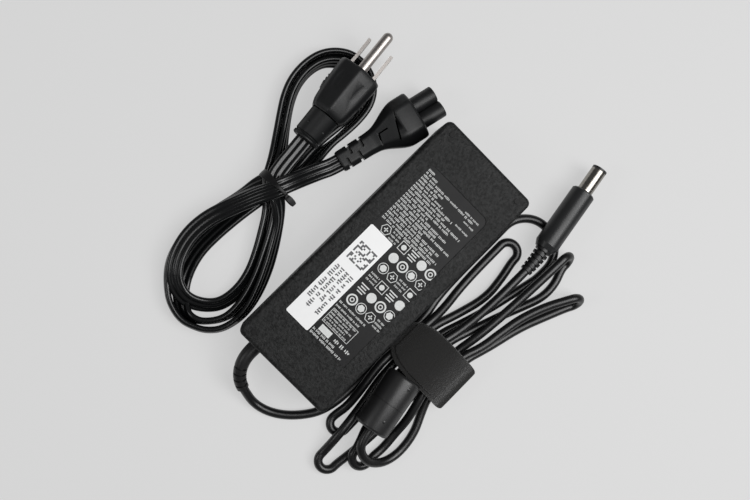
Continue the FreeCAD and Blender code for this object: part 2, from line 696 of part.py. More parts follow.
def output_wires():
    """Two insulated wires from the board to the flange of the relief."""
    flange_x = -value["case_length"] / 2 + value["wall"] + value["fit_gap"] + 1.6
    top = value["board_top"]
    wires = []
    for k in (-1, 1):
        y = value["relief_exit_y"] + 1.3 * k
        route = [(flange_x, y, 15), (flange_x + 4, y, 15), (flange_x + 6.5, y, 11.5), (flange_x + 6.5, y, top)]
        wires.append(free_tube("wire_%d" % (k + 1), route, 1.6))
    node(group("wires", *wires), "output_wires")


CORD_START = [(-85.9, -3.6, 3.4), (-84.6, -10.2, 2.2), (-81.0, -16.6, 2.2), (-75.3, -22.7, 2.2),
              (-67.9, -27.9, 2.2), (-59.0, -30.3, 2.2), (-49.0, -31.0, 2.3), (-40.0, -31.4, 3.0), (-34.0, -31.4, 4.0),
              (-27.0, -31.4, 4.0)]


def cord_hank(enter, axis):
    """Four folds each way through the strap: every pass out to the right and back to the left."""
    route = [(-27, -31.4, 4.0), (-20, -31.4, 4.0), (-2.5, -31.8, 4.1), (7, -29.7, 2.6), (20, -28.9, 2.3),
             (40, -28.9, 2.3)]
    route += half_turn((54.7, -28.9, 2.3), (1, 0, 0), (54.7, -57.2, 2.3))
    route += [(45, -56.4, 2.3), (33, -53.6, 2.3), (20, -50.4, 2.3), (8, -46.6, 2.6), (-4.5, -41.9, 4.0),
              (-27, -41.8, 4.0), (-38, -41.4, 2.6), (-52, -42.2, 2.3)]
    route += half_turn((-65.3, -42.4, 2.3), (-1, 0, 0), (-65.3, -34.2, 2.3))
    route += [(-57.0, -35.2, 3.9), (-47.5, -33.8, 7.3), (-37, -32.0, 8.4), (-27, -31.4, 8.9), (-4.5, -34.3, 8.4),
              (7, -35.1, 5.2), (18, -34.2, 2.7), (30, -33.7, 2.3)]
    route += half_turn((47.3, -33.7, 2.3), (1, 0, 0), (47.3, -43.1, 2.3))
    route += [(37, -44.9, 2.3), (25, -46.2, 2.3), (10, -42.1, 2.6), (-4.5, -36.7, 4.0), (-27, -36.6, 4.0),
              (-38, -37.0, 4.4), (-49, -38.8, 6.3), (-60, -40.2, 7.3), (-70, -41.2, 7.3)]
    route += half_turn((-81, -42.2, 3.6), (-1, 0, 0), (-81, -50.8, 2.3))
    route += [(-72, -51.9, 2.3), (-60, -53.2, 2.3), (-45, -53.5, 2.4), (-27, -53.4, 4.0), (-4.5, -53.4, 4.0),
              (8, -55.4, 6.4), (22, -56.7, 7.4), (36, -57.4, 8.3), (50, -57.9, 9.4)]
    route += half_turn((62, -58.3, 9.9), (1, -0.03, 0), (62, -62.4, 2.3))
    route += [(53, -65.2, 2.3), (44, -65.4, 2.3), (34, -61.6, 2.3), (23, -57.0, 2.3), (9, -52.1, 2.6),
              (-4.5, -47.1, 4.0), (-27, -47.0, 4.0), (-38, -47.2, 2.6), (-48, -47.6, 2.4), (-57, -48.2, 3.6),
              (-63, -50.0, 7.2)]
    route += half_turn((-69.0, -51.6, 7.6), (-1, -0.15, 0), (-67.6, -60.6, 3.2))
    route += [(-59, -61.2, 2.3), (-50, -60.2, 3.2), (-42, -59.4, 5.4), (-33, -56.8, 8.0), (-27, -54.8, 8.7),
              (-4.5, -56.0, 8.6), (6, -60.2, 8.0), (17, -61.8, 7.9), (29, -63.9, 8.1), (41.0, -68.2, 8.9)]
    route += half_turn((52.5, -74.4, 9.9), (0.87, -0.5, 0), (50.4, -78.0, 2.3))
    route += [(40, -73.4, 2.3), (25.8, -67.6, 2.3), (9, -63.6, 2.5), (-4.5, -58.9, 4.0), (-27, -58.8, 4.0),
              (-35, -62.4, 2.6), (-44, -66.8, 2.3), (-55, -68.2, 2.6), (-63.6, -65.6, 5.2), (-68.2, -59.6, 10.2),
              (-67.2, -52.6, 13.8), tuple(enter - axis * 6), tuple(enter)]
    return route


def ferrite():
    place = {"x": "ferrite_x", "y": "ferrite_y", "z": "ferrite_z"}
    cover = prism("ferrite_form", "2 * ferrite_radius", "2 * ferrite_radius", "ferrite_long",
                  "ferrite_radius - 0.01", "ferrite_rim", True)
    put(cover, turn=90, axis=Vector(0, 1, 0))
    inset = "(ferrite_long - core_long) / 2"
    space = ring("ferrite_space", "core_radius", "core_bore", "core_long", x=inset, along="x")
    put(node(cut("ferrite_cover", cover, space), "ferrite_housing"), turn="ferrite_turn", **place)
    core = group("core_set", ring("core", "core_radius", "core_bore", "core_long", x=inset, along="x"))
    put(node(core, "ferrite_core"), turn="ferrite_turn", **place)


def strap_form(name, inset):
    """The strap's outline, flat below and drawn to an arch above, set in all round."""
    middle = "(strap_near + strap_far) / 2"
    block = put(prism(name + "_block", "strap_top - strap_base - 2 * " + inset, "strap_near - strap_far - 2 * " + inset,
                      "strap_wide", "strap_corner - " + inset), x="strap_left", y=middle,
                z="(strap_top + strap_base) / 2", turn=90, axis=Vector(0, 1, 0))
    arch = rod(name + "_arch", "strap_arch - " + inset, "strap_wide", x="strap_left", y=middle,
               z="strap_top - strap_arch", along="x")
    item = doc.addObject("Part::Common", name)
    item.Base, item.Tool = block, arch
    return item


def strap():
    """Hook-and-loop band round the whole bundle, its ends pressed together on the far side."""
    outer = strap_form("strap_outside", "0")
    inner = strap_form("strap_inside", "strap_thick")
    tab = box("tab", "strap_wide", "tab_out + strap_thick / 2", "tab_thick", x="strap_left + strap_wide / 2",
              y="strap_far - tab_out / 2 + strap_thick / 4", z="tab_height - tab_thick / 2")
    node(join("strap_and_tab", cut("strap_band", outer, inner), tab), "cord_strap")


def low_voltage_plug():
    place = {"x": "plug_x", "y": "plug_y", "z": "plug_z", "turn": "plug_turn"}
    slope = solid("Cone", "plug_shoulder", {"Radius1": "plug_neck", "Radius2": "plug_radius", "Height": 2.5},
                  turn=90, axis=Vector(0, 1, 0))
    stem = rod("plug_stem", "plug_radius", "plug_long - 3.1", x=2.5, along="x")
    nose = solid("Cone", "plug_nose", {"Radius1": "plug_radius", "Radius2": "plug_radius - 0.6", "Height": 0.6},
                 x="plug_long - 0.6", turn=90, axis=Vector(0, 1, 0))
    put(node(join("plug_form", slope, stem, nose), "plug_body"), **place)
    whole = rod("barrel_form", "barrel_radius", "barrel_long - tip_ring", x="plug_long", along="x")
    bore = rod("barrel_space", "barrel_bore", "barrel_long", x="plug_long + barrel_floor", along="x")
    put(node(cut("barrel", whole, bore), "plug_barrel"), **place)
    put(node(ring("tip", "barrel_radius", "barrel_bore", "tip_ring", x="plug_long + barrel_long - tip_ring",
                  along="x"), "plug_tip_ring"), **place)
    pin = rod("centre", "pin_radius", "barrel_long - pin_short - barrel_floor", x="plug_long + barrel_floor",
              along="x")
    put(node(group("centre_set", pin), "plug_centre_pin"), **place)
    turn = value["plug_relief_long"] / value["plug_relief_bend"]
    horn, (_, tip, way) = bent_taper(Vector(0, 0, 0), Vector(-1, 0, 0), Vector(0, 1, 0), 0.01,
                                     value["plug_relief_bend"], math.degrees(turn), value["plug_relief_root"],
                                     value["plug_relief_tip"])
    for k in range(5):
        angle = turn * (0.14 + 0.18 * k)
        point = Vector(-math.sin(angle), 1 - math.cos(angle), 0) * value["plug_relief_bend"]
        heading = Vector(-math.cos(angle), math.sin(angle), 0)
        horn = horn.cut(groove(point, heading, value["plug_radius"],
                               value["plug_relief_tip"] - 0.4, 1.0))
    put(node(plain("plug_horn", horn), "plug_relief"), **place)
    placed = Placement(Vector(value["plug_x"], value["plug_y"], value["plug_z"]),
                       Rotation(Vector(0, 0, 1), value["plug_turn"]))
    return placed.multVec(tip), placed.Rotation.multVec(way)


CORD_END = [(-15.5, -41.9, 13.4), (-7, -44.0, 11.0), (4, -46.9, 9.8), (16, -48.4, 9.9),
            (29, -49.1, 10.3)]


def low_voltage_side():
    exit_point, way = strain_relief()
    first = [tuple(exit_point), tuple(exit_point + way * 4.6)]
    output_wires()
    node(free_tube("cord_first", first + CORD_START, value["cord_dia"]), "dc_cord_start")
    turn = math.radians(value["ferrite_turn"])
    axis = Vector(math.cos(turn), math.sin(turn), 0)
    enter = Vector(value["ferrite_x"], value["ferrite_y"], value["ferrite_z"])
    leave = enter + axis * value["ferrite_long"]
    node(wound_tube("cord_folds", cord_hank(enter, axis), value["cord_dia"]), "dc_cord_hank")
    ferrite()
    strap()
    plug_end, back = low_voltage_plug()
    route = [tuple(leave), tuple(leave + axis * 6)] + CORD_END + [tuple(plug_end + back * 6), tuple(plug_end)]
    node(free_tube("cord_last", route, value["cord_dia"]), "dc_cord_end")


# Mains lead
def section(x, wide, high, corner, y=0, z=0):
    """A rounded rectangle across the X axis."""
    w, h, c = wide / 2, high / 2, min(corner, wide / 2 - 0.1, high / 2 - 0.1)
    edges, quarter = [], c * (1 - math.sqrt(0.5))
    for sy, sz in ((1, 1), (-1, 1), (-1, -1), (1, -1)):
        upright = [Vector(x, y + sy * w, z + sz * (h - c)), Vector(x, y + sy * (w - quarter), z + sz * (h - quarter)),
                   Vector(x, y + sy * (w - c), z + sz * h)]
        edges.append(upright if sy * sz > 0 else upright[::-1])
    shape = []
    for k in range(4):
        shape.append(Part.Arc(*edges[k]).toShape())
        shape.append(Part.LineSegment(edges[k][2], edges[(k + 1) % 4][0]).toShape())
    return Part.Wire(shape)


def skin(sections):
    return Part.makeLoft([section(*s) for s in sections], True, True)


def appliance_connector():
    """Three-lobed connector with a flared body and a comb of staggered teeth behind it."""
    place = {"x": "conn_x", "y": "conn_y", "z": "conn_z", "turn": "conn_turn"}
    wide, high, front, neck = (value[n] for n in ("conn_wide", "conn_high", "conn_front", "conn_relief"))
    neck_wide, neck_high = value["conn_neck_wide"], value["conn_neck_high"]
    form = skin([(0, neck_wide - 0.6, neck_high - 0.8, 2), (neck - 2, neck_wide + 1.8, neck_high + 0.8, 2.4),
                 (neck + 5, wide - 7.2, high - 4.4, 3.6), (neck + 14, wide - 1, high - 0.6, 4),
                 (front - 1.6, wide, high, 4), (front, wide - 2, high - 2, 3.4)])
    deep, margin = value["slot_deep"], 2
    for k in range(4):
        near = -neck_wide / 2 - margin if k % 2 == 0 else neck_wide / 2 - deep
        slot = Part.makeBox(value["slot_wide"], deep + margin, neck_high + 2 * margin)
        slot.translate(Vector(value["slot_start"] + value["slot_pitch"] * k, near, -neck_high / 2 - margin))
        form = form.cut(slot)
    places = [(value["lobe_across"], value["lobe_up"]), (-value["lobe_across"], value["lobe_up"]),
              (0, -value["lobe_down"])]
    along = Vector(1, 0, 0)
    tips = [Part.makeCylinder(value["lobe_radius"], value["insert_long"], Vector(front, y, z), along)
            for y, z in places]
    form = form.fuse(tips).removeSplitter()
    end = front + value["insert_long"]
    for y, z in places:
        form = form.cut(Part.makeCylinder(value["hole_radius"], value["hole_deep"],
                                          Vector(end - value["hole_deep"], y, z), along))
    put(node(plain("connector_form", form), "connector_body"), **place)
    long = value["hole_deep"] - value["sleeve_back"]
    sleeves = []
    for k, (y, z) in enumerate(places):
        start = Vector(end - value["hole_deep"], y, z)
        sleeve = Part.makeCylinder(value["hole_radius"], long, start, along)
        sleeves.append(plain("sleeve_%d" % k, sleeve.cut(Part.makeCylinder(value["sleeve_bore"], long, start, along))))
    put(node(group("sleeves", *sleeves), "connector_contacts"), **place)


def mains_plug():
    """Three-pin plug body that narrows to a collar, two blades and a round earth pin."""
    place = {"x": "mains_x", "y": "mains_y", "z": "mains_z", "turn": "mains_turn"}
    wide, high, long = value["mains_wide"], value["mains_high"], value["mains_long"]
    collar, collar_long = value["collar_wide"], value["collar_long"]
    aside, droop = value["collar_aside"], value["collar_droop"]
    tail = skin([(-long - collar_long, collar - 1.2, collar - 1.6, 4.5, aside, -droop),
                 (-long - collar_long + 1.4, collar, collar - 0.4, 5, aside, -droop),
                 (-long + 0.5, collar + 1, collar, 5)])
    block = skin([(-long, wide - 5.4, high - 6, 5), (-long + 1.6, wide - 3.4, high - 3.4, 6),
                  (-long + 12, wide - 1, high - 0.8, 7), (-1.4, wide, high, 7), (0, wide - 1.6, high - 1.6, 6)])
    put(node(plain("mains_form", block.fuse(tail).removeSplitter()), "mains_plug_body"), **place)
    blades = [box("blade_%d" % k, "blade_long", "blade_thick", "blade_high", x="blade_long / 2",
                  y="blade_gap / 2 * %d" % (1 - 2 * k), z="blade_z - mains_z - blade_high / 2") for k in range(2)]
    put(node(group("blade_pair", *blades), "mains_plug_blades"), **place)
    earth = rod("earth_stem", "earth_radius", "earth_long - earth_radius", z="blade_z + earth_rise - mains_z",
                along="x")
    nose = solid("Sphere", "earth_nose", {"Radius": "earth_radius"}, x="earth_long - earth_radius",
                 z="blade_z + earth_rise - mains_z")
    put(node(join("earth", earth, nose), "mains_plug_ground_pin"), **place)


def tie():
    """Thin band round the waist of the mains lead, with its moulded clasp on top."""
    middle = "tie_base + tie_high / 2"
    place = {"x": "tie_x - tie_wide / 2", "y": "tie_y", "z": middle, "turn": 90, "axis": Vector(0, 1, 0)}
    outer = put(prism("tie_outside", "tie_high", "tie_across", "tie_wide", "tie_corner"), **place)
    inner = put(prism("tie_inside", "tie_high - 2 * tie_thick", "tie_across - 2 * tie_thick", "tie_wide",
                      "tie_corner - tie_thick"), **place)
    clasp = box("clasp", 6, 4.4, 2.4, x="tie_x - 0.4", y="tie_y + 3.6", z="tie_base + tie_high - 0.2")
    node(join("tie_form", cut("tie_band", outer, inner), clasp), "cord_tie")


UPPER_ONE, UPPER_TWO, UPPER_THREE = (-10.1, 55.6, 13.6), (-7.9, 60.6, 13.6), (-9.0, 58.35, 18.5)
LOWER_ONE, LOWER_TWO, LOWER_THREE = (-7.4, 56.3, 3.6), (-10.6, 60.4, 3.6), (-9.0, 58.35, 8.1)
LEAD_JOIN = (8.5, 50.2, 10.4)


def lead_hank(before, rear, back):
    """Three loops to the left and two to the right, crossing at the tie, then up into the mains plug."""
    onward = Vector(*LEAD_JOIN) + unit(Vector(*LEAD_JOIN) - before) * 7.6
    route = [LEAD_JOIN, tuple(onward), UPPER_ONE, (-17, 59.0, 12.0), (-24.5, 63.0, 6.6), (-33, 65.6, 3.0),
             (-46, 66.6, 2.4)]
    route += loop(-58.5, 52.5, 13.6, 95, 280, [2.4] * 5)
    route += [(-41, 42.3, 2.4), (-27, 48.9, 2.4), (-18, 55.2, 2.8), LOWER_TWO, (-3.4, 66.0, 2.8), (3.2, 71.2, 2.4),
              (12.7, 77.4, 2.4), (26, 84.6, 2.4)]
    route += half_turn((41.5, 87.3, 2.4), (1, 0, 0), (41.5, 54.7, 2.4))
    route += [(23, 55.7, 2.4), (12, 55.8, 3.8), (4, 56.0, 7.2), (-2.2, 58.3, 11.4), UPPER_TWO, (-16, 64.8, 11.9),
              (-24.5, 68.7, 6.4), (-33, 70.9, 3.0), (-46, 71.8, 2.4)]
    route += loop(-58.5, 52.5, 18.8, 95, 285, [2.4] * 5)
    route += [(-41, 36.8, 2.4), (-27, 42.8, 2.4), (-16, 50.2, 2.8), LOWER_ONE, (-1.4, 61.2, 2.9), (6, 66.9, 2.4),
              (15.9, 72.9, 2.4), (28, 79.4, 2.4)]
    route += half_turn((41.5, 82.0, 2.4), (1, 0, 0), (41.5, 59.9, 2.4))
    route += [(23, 61.1, 2.4), (12, 60.8, 6.5), (4, 60.1, 11.9), (-2, 60.3, 17.5), UPPER_THREE, (-16, 61.9, 17.6),
              (-24.5, 65.8, 12.6), (-33, 68.3, 8.5), (-46, 69.4, 7.5)]
    route += loop(-63.5, 48.6, 19.2, 100, 300, [7.5, 7.5, 7.5, 6.6, 7.5])
    route += [(-41, 39.6, 7.5), (-27, 45.9, 7.5), (-17, 53.0, 7.9), LOWER_THREE, (-3.6, 63.4, 7.6), (1.0, 66.6, 7.9),
              tuple(rear + back * 7.2), tuple(rear)]
    return route


def mains_lead():
    appliance_connector()
    mains_plug()
    diameter = value["lead_dia"]
    turn = math.radians(value["conn_turn"])
    rear = Vector(value["conn_x"], value["conn_y"], value["conn_z"])
    back = Vector(-math.cos(turn), -math.sin(turn), 0)
    before = rear + back * 5
    node(free_tube("lead_first", [LEAD_JOIN, tuple(before), tuple(rear)], diameter), "mains_cord_to_connector")
    turn = math.radians(value["mains_turn"])
    axis, side = Vector(math.cos(turn), math.sin(turn), 0), Vector(-math.sin(turn), math.cos(turn), 0)
    collar = (Vector(value["mains_x"], value["mains_y"], value["mains_z"] - value["collar_droop"])
              - axis * (value["mains_long"] + value["collar_long"]) + side * value["collar_aside"])
    node(wound_tube("lead_folds", lead_hank(before, collar, axis * -1), diameter), "mains_cord_hank")
    tie()


casing()
labels()
mains_inlet()
board()
mains_side()
output_side()
low_voltage_side()
mains_lead()
doc.recompute()

# Export
os.makedirs("parts", exist_ok=True)
for name, item in nodes:
    shape = item.Shape
    wrong = [s for s in ("Invalid", "Error") if s in item.State]
    if wrong or shape.isNull() or not shape.isValid() or not shape.Solids:
        raise RuntimeError("%s is not a sound solid: %s" % (name, wrong))
    shape.exportStep("parts/%s.step" % name)
print("%d nodes written" % len(nodes))
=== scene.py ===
import math
import random

import bmesh
import bpy
from mathutils import Matrix, Vector


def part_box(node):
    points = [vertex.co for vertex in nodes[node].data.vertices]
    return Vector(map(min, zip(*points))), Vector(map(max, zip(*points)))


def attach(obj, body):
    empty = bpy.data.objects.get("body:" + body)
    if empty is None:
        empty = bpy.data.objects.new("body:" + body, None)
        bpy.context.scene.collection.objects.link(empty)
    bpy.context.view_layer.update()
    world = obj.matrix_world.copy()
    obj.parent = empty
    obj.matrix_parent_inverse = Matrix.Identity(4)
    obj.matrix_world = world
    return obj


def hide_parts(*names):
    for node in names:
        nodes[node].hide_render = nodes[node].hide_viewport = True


# Laptop power adapter, lying label side up between its two cords. Metres, in the frame of the packed
# part: origin under the middle of the casing, +X towards the mains inlet, +Z up from the table.
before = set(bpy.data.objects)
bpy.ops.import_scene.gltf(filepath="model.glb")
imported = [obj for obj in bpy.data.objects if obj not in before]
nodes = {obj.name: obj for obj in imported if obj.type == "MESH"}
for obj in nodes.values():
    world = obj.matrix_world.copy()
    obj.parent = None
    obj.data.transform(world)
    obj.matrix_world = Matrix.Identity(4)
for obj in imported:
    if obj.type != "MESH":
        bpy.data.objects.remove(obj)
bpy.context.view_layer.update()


# Casing
# Two thick polycarbonate shells welded along the middle of their height. The outside is charcoal with a
# fine moulded grain; four small studs on the label face are smoother and darker than the face round them.
class Level:
    """A shader number: sums written with it add their Math nodes."""

    def __init__(self, paint, socket):
        self.paint, self.socket = paint, socket

    def math(self, operation, *others):
        return self.paint.add("ShaderNodeMath", {"operation": operation}, dict(enumerate((self,) + others)))

    def __add__(self, other):
        return self.math("ADD", other)

    def __radd__(self, other):
        return self.math("ADD", other)

    def __mul__(self, other):
        return self.math("MULTIPLY", other)

    def __rmul__(self, other):
        return self.math("MULTIPLY", other)

    def __sub__(self, other):
        return self.math("SUBTRACT", other)

    def __rsub__(self, other):
        return (self * -1) + other

    def above(self, edge):
        return self.math("GREATER_THAN", edge)

    def below(self, edge):
        return self.math("LESS_THAN", edge)

    def size(self):
        return self.math("ABSOLUTE")

    def wave(self, pitch):
        """From 0 to 1 and back once in every pitch."""
        return (self * (2 * math.pi / pitch)).math("SINE") * 0.5 + 0.5


class Paint:
    """A finish: constants on the shader's own sockets, and one method that adds any node."""

    def __init__(self, name, colour, roughness, **constants):
        self.material = bpy.data.materials.new(name)
        self.material.use_nodes = True
        self.tree = self.material.node_tree
        self.shader = self.tree.nodes["Principled BSDF"].inputs
        self.shader["Base Color"].default_value = (*colour, 1)
        self.shader["Roughness"].default_value = roughness
        for socket, number in constants.items():
            self.shader[socket.replace("_", " ")].default_value = number

    def add(self, kind, settings=None, inputs=None, output=0):
        node = self.tree.nodes.new(kind)
        for key, setting in (settings or {}).items():
            setattr(node, key, setting)
        for key, value in (inputs or {}).items():
            self.feed(node.inputs[key], value)
        return Level(self, node.outputs[output])

    def feed(self, socket, value):
        if isinstance(value, Level):
            self.tree.links.new(value.socket, socket)
        elif isinstance(value, (tuple, list)) and len(value) == 3 and len(socket.default_value) == 4:
            socket.default_value = (*value, 1)
        else:
            socket.default_value = value

    def show(self, **sockets):
        for name, value in sockets.items():
            self.feed(self.shader[name.replace("_", " ")], value)

    def place(self):
        return self.add("ShaderNodeTexCoord", output="Object")

    def along(self):
        """The place's three coordinates, each a number."""
        parts = self.add("ShaderNodeSeparateXYZ", {}, {"Vector": self.place()})
        return [Level(self, output) for output in parts.socket.node.outputs]

    def stretched(self, x, y, z):
        """The place drawn out along one way, for grain that runs that way."""
        return self.add("ShaderNodeVectorMath", {"operation": "MULTIPLY"}, {0: self.place(), 1: (x, y, z)})

    def noise(self, scale, detail=2.0, rough=0.5, vector=None):
        return self.add("ShaderNodeTexNoise", {}, {"Vector": vector or self.place(), "Scale": scale,
                                                   "Detail": detail, "Roughness": rough})

    def blend(self, share, first, second):
        return self.add("ShaderNodeMix", {"data_type": "RGBA"}, {0: share, 6: first, 7: second}, 2)

    def relief(self, height, distance, strength=1.0):
        self.show(Normal=self.add("ShaderNodeBump", {}, {"Height": height, "Distance": distance,
                                                         "Strength": strength}))


def finish_node(paint, *names):
    for name in names:
        nodes[name].data.materials.clear()
        nodes[name].data.materials.append(paint.material)


stud_along, stud_across, stud_radius = 0.0614, 0.0206, 0.00125
casing_paint = Paint("charcoal grain", (0.01, 0.0105, 0.0105), 0.5, Specular_IOR_Level=0.2)
grain = casing_paint.noise(850, 3, 0.65)
x, y, z = casing_paint.along()
off_x, off_y = x.size() - stud_along, y.size() - stud_across
stud = (off_x * off_x + off_y * off_y).below(stud_radius ** 2) * z.above(0.0295)
grained = casing_paint.blend((grain - 0.5) * 4 + 0.5, (0.002, 0.0022, 0.0022), (0.019, 0.0195, 0.0195))
casing_paint.show(Base_Color=casing_paint.blend(stud, grained, (0.004, 0.004, 0.004)),
                  Roughness=0.4 + casing_paint.noise(40, 3) * 0.2)
casing_paint.relief(grain * (1 - stud), 0.0003, 1.0)
finish_node(casing_paint, "upper_shell", "lower_shell")


# Rating label
# A black film sunk into the recess of the upper shell, screen-printed in pale grey. The print is greeked:
# columns of uneven strokes across the right half, and rings, discs and framed blocks on the left.
def piece(name, form, paint, body, slot, *replaced, sharp=35):
    """Makes the form an object: faces outwards, smooth up to an angle, riding on its body."""
    bmesh.ops.recalc_face_normals(form, faces=form.faces)
    for face in form.faces:
        face.smooth = True
    for seam in form.edges:
        seam.smooth = seam.calc_face_angle(0) < math.radians(sharp)
    mesh = bpy.data.meshes.new(name)
    form.to_mesh(mesh)
    form.free()
    mesh.materials.append(paint.material)
    item = bpy.data.objects.new(name, mesh)
    bpy.context.scene.collection.objects.link(item)
    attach(item, body)
    if replaced:
        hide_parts(*replaced)
    return item


ink_thick = 0.00004
label_paint = Paint("black film", (0.006, 0.006, 0.0065), 0.36, Specular_IOR_Level=0.15)
label_paint.relief(label_paint.noise(900, 2), 0.00003, 0.5)
label_paint.show(Base_Color=label_paint.blend(label_paint.noise(60, 3), (0.004, 0.004, 0.0045),
                                              (0.009, 0.009, 0.0095)),
                 Roughness=0.32 + label_paint.noise(120, 2) * 0.12)
finish_node(label_paint, "rating_label")


class Ink:
    """Print of one colour on one sheet, each mark a slab a hair thick."""

    def __init__(self, level, seed):
        self.form, self.level, self.draw = bmesh.new(), level + ink_thick / 2, random.Random(seed)

    def spot(self, x, y, turn=0.0):
        return Matrix.Translation((x, y, self.level)) @ Matrix.Rotation(math.radians(turn), 4, "Z")

    def bar(self, x, y, long, wide, turn=0.0):
        shape = self.spot(x, y, turn) @ Matrix.Diagonal((long, wide, ink_thick, 1))
        bmesh.ops.create_cube(self.form, size=1, matrix=shape)

    def disc(self, x, y, radius, sides=20, turn=0.0):
        bmesh.ops.create_cone(self.form, cap_ends=True, segments=sides, radius1=radius, radius2=radius,
                              depth=ink_thick, matrix=self.spot(x, y, turn))

    def ring(self, x, y, radius, line, sides=24, turn=0.0):
        """A round or cornered outline: the line's section spun about its middle."""
        corners = [self.form.verts.new((radius + across * line, 0, up * ink_thick / 2))
                   for across, up in ((0, -1), (0, 1), (-1, 1), (-1, -1))]
        seams = [self.form.edges.new((corners[k - 1], corners[k])) for k in range(4)]
        before = set(self.form.verts) - set(corners)
        bmesh.ops.spin(self.form, geom=corners + seams, cent=(0, 0, 0), axis=(0, 0, 1), angle=2 * math.pi,
                       steps=sides, use_merge=True)
        drawn = [v for v in self.form.verts if v not in before]
        bmesh.ops.transform(self.form, matrix=self.spot(x, y, turn), verts=drawn)

    def frame(self, x, y, long, wide, line):
        for side in (-1, 1):
            self.bar(x, y + side * (wide - line) / 2, long, line)
            self.bar(x + side * (long - line) / 2, y, line, wide - 2 * line)

    def words(self, x, y, long, high, turn, ragged=0.0):
        """Greeked words from a point along a way: uneven upright strokes with short crossbars."""
        way, up = Vector((math.cos(math.radians(turn)), math.sin(math.radians(turn)))), 0.0
        pitch = high * 0.56
        end = long * (1 - ragged * self.draw.random())
        while up < end:
            letters = self.draw.randint(2, 8)
            for _ in range(letters):
                tall = high * self.draw.choice((0.62, 0.7, 1, 1))
                base = Vector((x, y)) + way * up
                self.bar(base.x, base.y, pitch * 0.5, tall, turn)
                if self.draw.random() < 0.75:
                    lift = Vector((-way.y, way.x)) * high * self.draw.choice((-0.3, 0, 0.3))
                    self.bar(base.x + lift.x + way.x * pitch * 0.3, base.y + lift.y + way.y * pitch * 0.3,
                             pitch * 0.55, high * 0.22, turn)
                up += pitch
                if up >= end:
                    break
            up += pitch * 0.9


film_left, film_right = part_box("rating_label")[0][0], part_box("rating_label")[1][0]
film_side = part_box("rating_label")[1][1]
sticker_low, sticker_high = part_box("white_sticker")
print_ink = Ink(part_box("rating_label")[1][2], 7)
column_pitch, column_high = 0.00162, 0.00112
column_top, column_low = film_side - 0.0012, -film_side + 0.0012
shares = (0.9, 0.96, 0.82, 0.9, 0.55, 0.98, 0.7, 0.86, 0.45, 0.8, 0.97, 0.62, 0.74, 0.5, 0.36, 0.42, 0.93, 0.2, 0.12)
for k, share in enumerate(shares):
    print_ink.words(film_right - 0.0025 - column_pitch * (len(shares) - 1 - k), column_top,
                    (column_top - column_low) * share, column_high, -90, 0.04)
for k, share in enumerate((0.5, 0.35, 0.42)):
    print_ink.words(film_right - 0.0042 - column_pitch * 2.2 * k, column_low + 0.001,
                    (column_top - column_low) * share * 0.5, column_high * 0.8, 90)
side_top = sticker_low[1] - 0.001
side_long = side_top - column_low
print_ink.words(film_left + 0.0013, side_top, side_long * 0.9, column_high, -90)
print_ink.words(film_left + 0.0031, side_top, side_long * 0.62, column_high, -90)
print_ink.bar(film_left + 0.0056, side_top - 0.0048, 0.003, 0.0062)
print_ink.words(film_left + 0.0056, side_top - 0.0105, side_long * 0.42, 0.0017, -90)
table_x, table_y, table_long, table_wide, table_line = film_left + 0.0118, side_top - 0.0078, 0.0076, 0.0152, 0.00022
print_ink.frame(table_x, table_y, table_long, table_wide, table_line)
for k in range(5):
    print_ink.words(table_x - 0.0029 + 0.00146 * k, table_y + 0.0069, 0.0132 - 0.0021 * (k % 2), 0.00085, -90)
for k in range(2):
    print_ink.words(film_left + 0.0172 + 0.0022 * k, side_top, side_long * (0.72 + 0.1 * k), 0.00095, -90, 0.1)
grid_x, grid_y, cell = film_left + 0.0236, side_top - 0.0033, 0.0057
for row in range(-2, 4):
    for column in range(5 if row < 0 else 0, 6):
        x, y = grid_x + cell * 1.13 * column, grid_y - cell * 0.98 * row
        motif = (row * 2 + column * 3) % 7
        if motif == 0:
            print_ink.ring(x, y, cell * 0.46, 0.00075)
            print_ink.ring(x, y, cell * 0.2, 0.0005, 12)
        elif motif == 1:
            print_ink.frame(x, y, cell * 0.82, cell * 0.82, 0.0003)
            print_ink.disc(x, y, cell * 0.22)
        elif motif == 2:
            print_ink.ring(x, y, cell * 0.44, 0.0003)
            print_ink.disc(x, y, cell * 0.3, 6)
        elif motif == 3:
            for k in range(4):
                print_ink.bar(x - cell * 0.33 + cell * 0.22 * k, y, 0.00055, cell * (0.8 if k % 2 else 0.55))
        elif motif == 4:
            print_ink.ring(x, y, cell * 0.46, 0.00035, 6, 30)
            print_ink.bar(x, y, cell * 0.4, 0.0005)
            print_ink.bar(x, y, 0.0005, cell * 0.4)
        elif motif == 5:
            print_ink.disc(x, y, cell * 0.4)
        else:
            for k in range(3):
                print_ink.words(x - cell * 0.3 + cell * 0.3 * k, y + cell * 0.42, cell * 0.84, 0.0009, -90)
print_paint = Paint("pale print", (0.34, 0.35, 0.345), 0.5)
print_paint.show(Base_Color=print_paint.blend(print_paint.noise(2500, 2), (0.52, 0.53, 0.525),
                                              (0.8, 0.81, 0.8)))
piece("label_print", print_ink.form, print_paint, "adapter", "label_film")


# White sticker
# Glossy white paper stuck across the upper left of the label, printed in dark grey with a framed block of
# small squares and rows of greeked words, read from the other side of the adapter.
paper_paint = Paint("white paper", (0.8, 0.8, 0.8), 0.42)
paper_paint.show(Base_Color=paper_paint.blend(paper_paint.noise(300, 3), (0.86, 0.86, 0.865), (0.9, 0.9, 0.9)))
paper_paint.relief(paper_paint.noise(1800, 2), 0.00002, 0.4)
finish_node(paper_paint, "white_sticker")

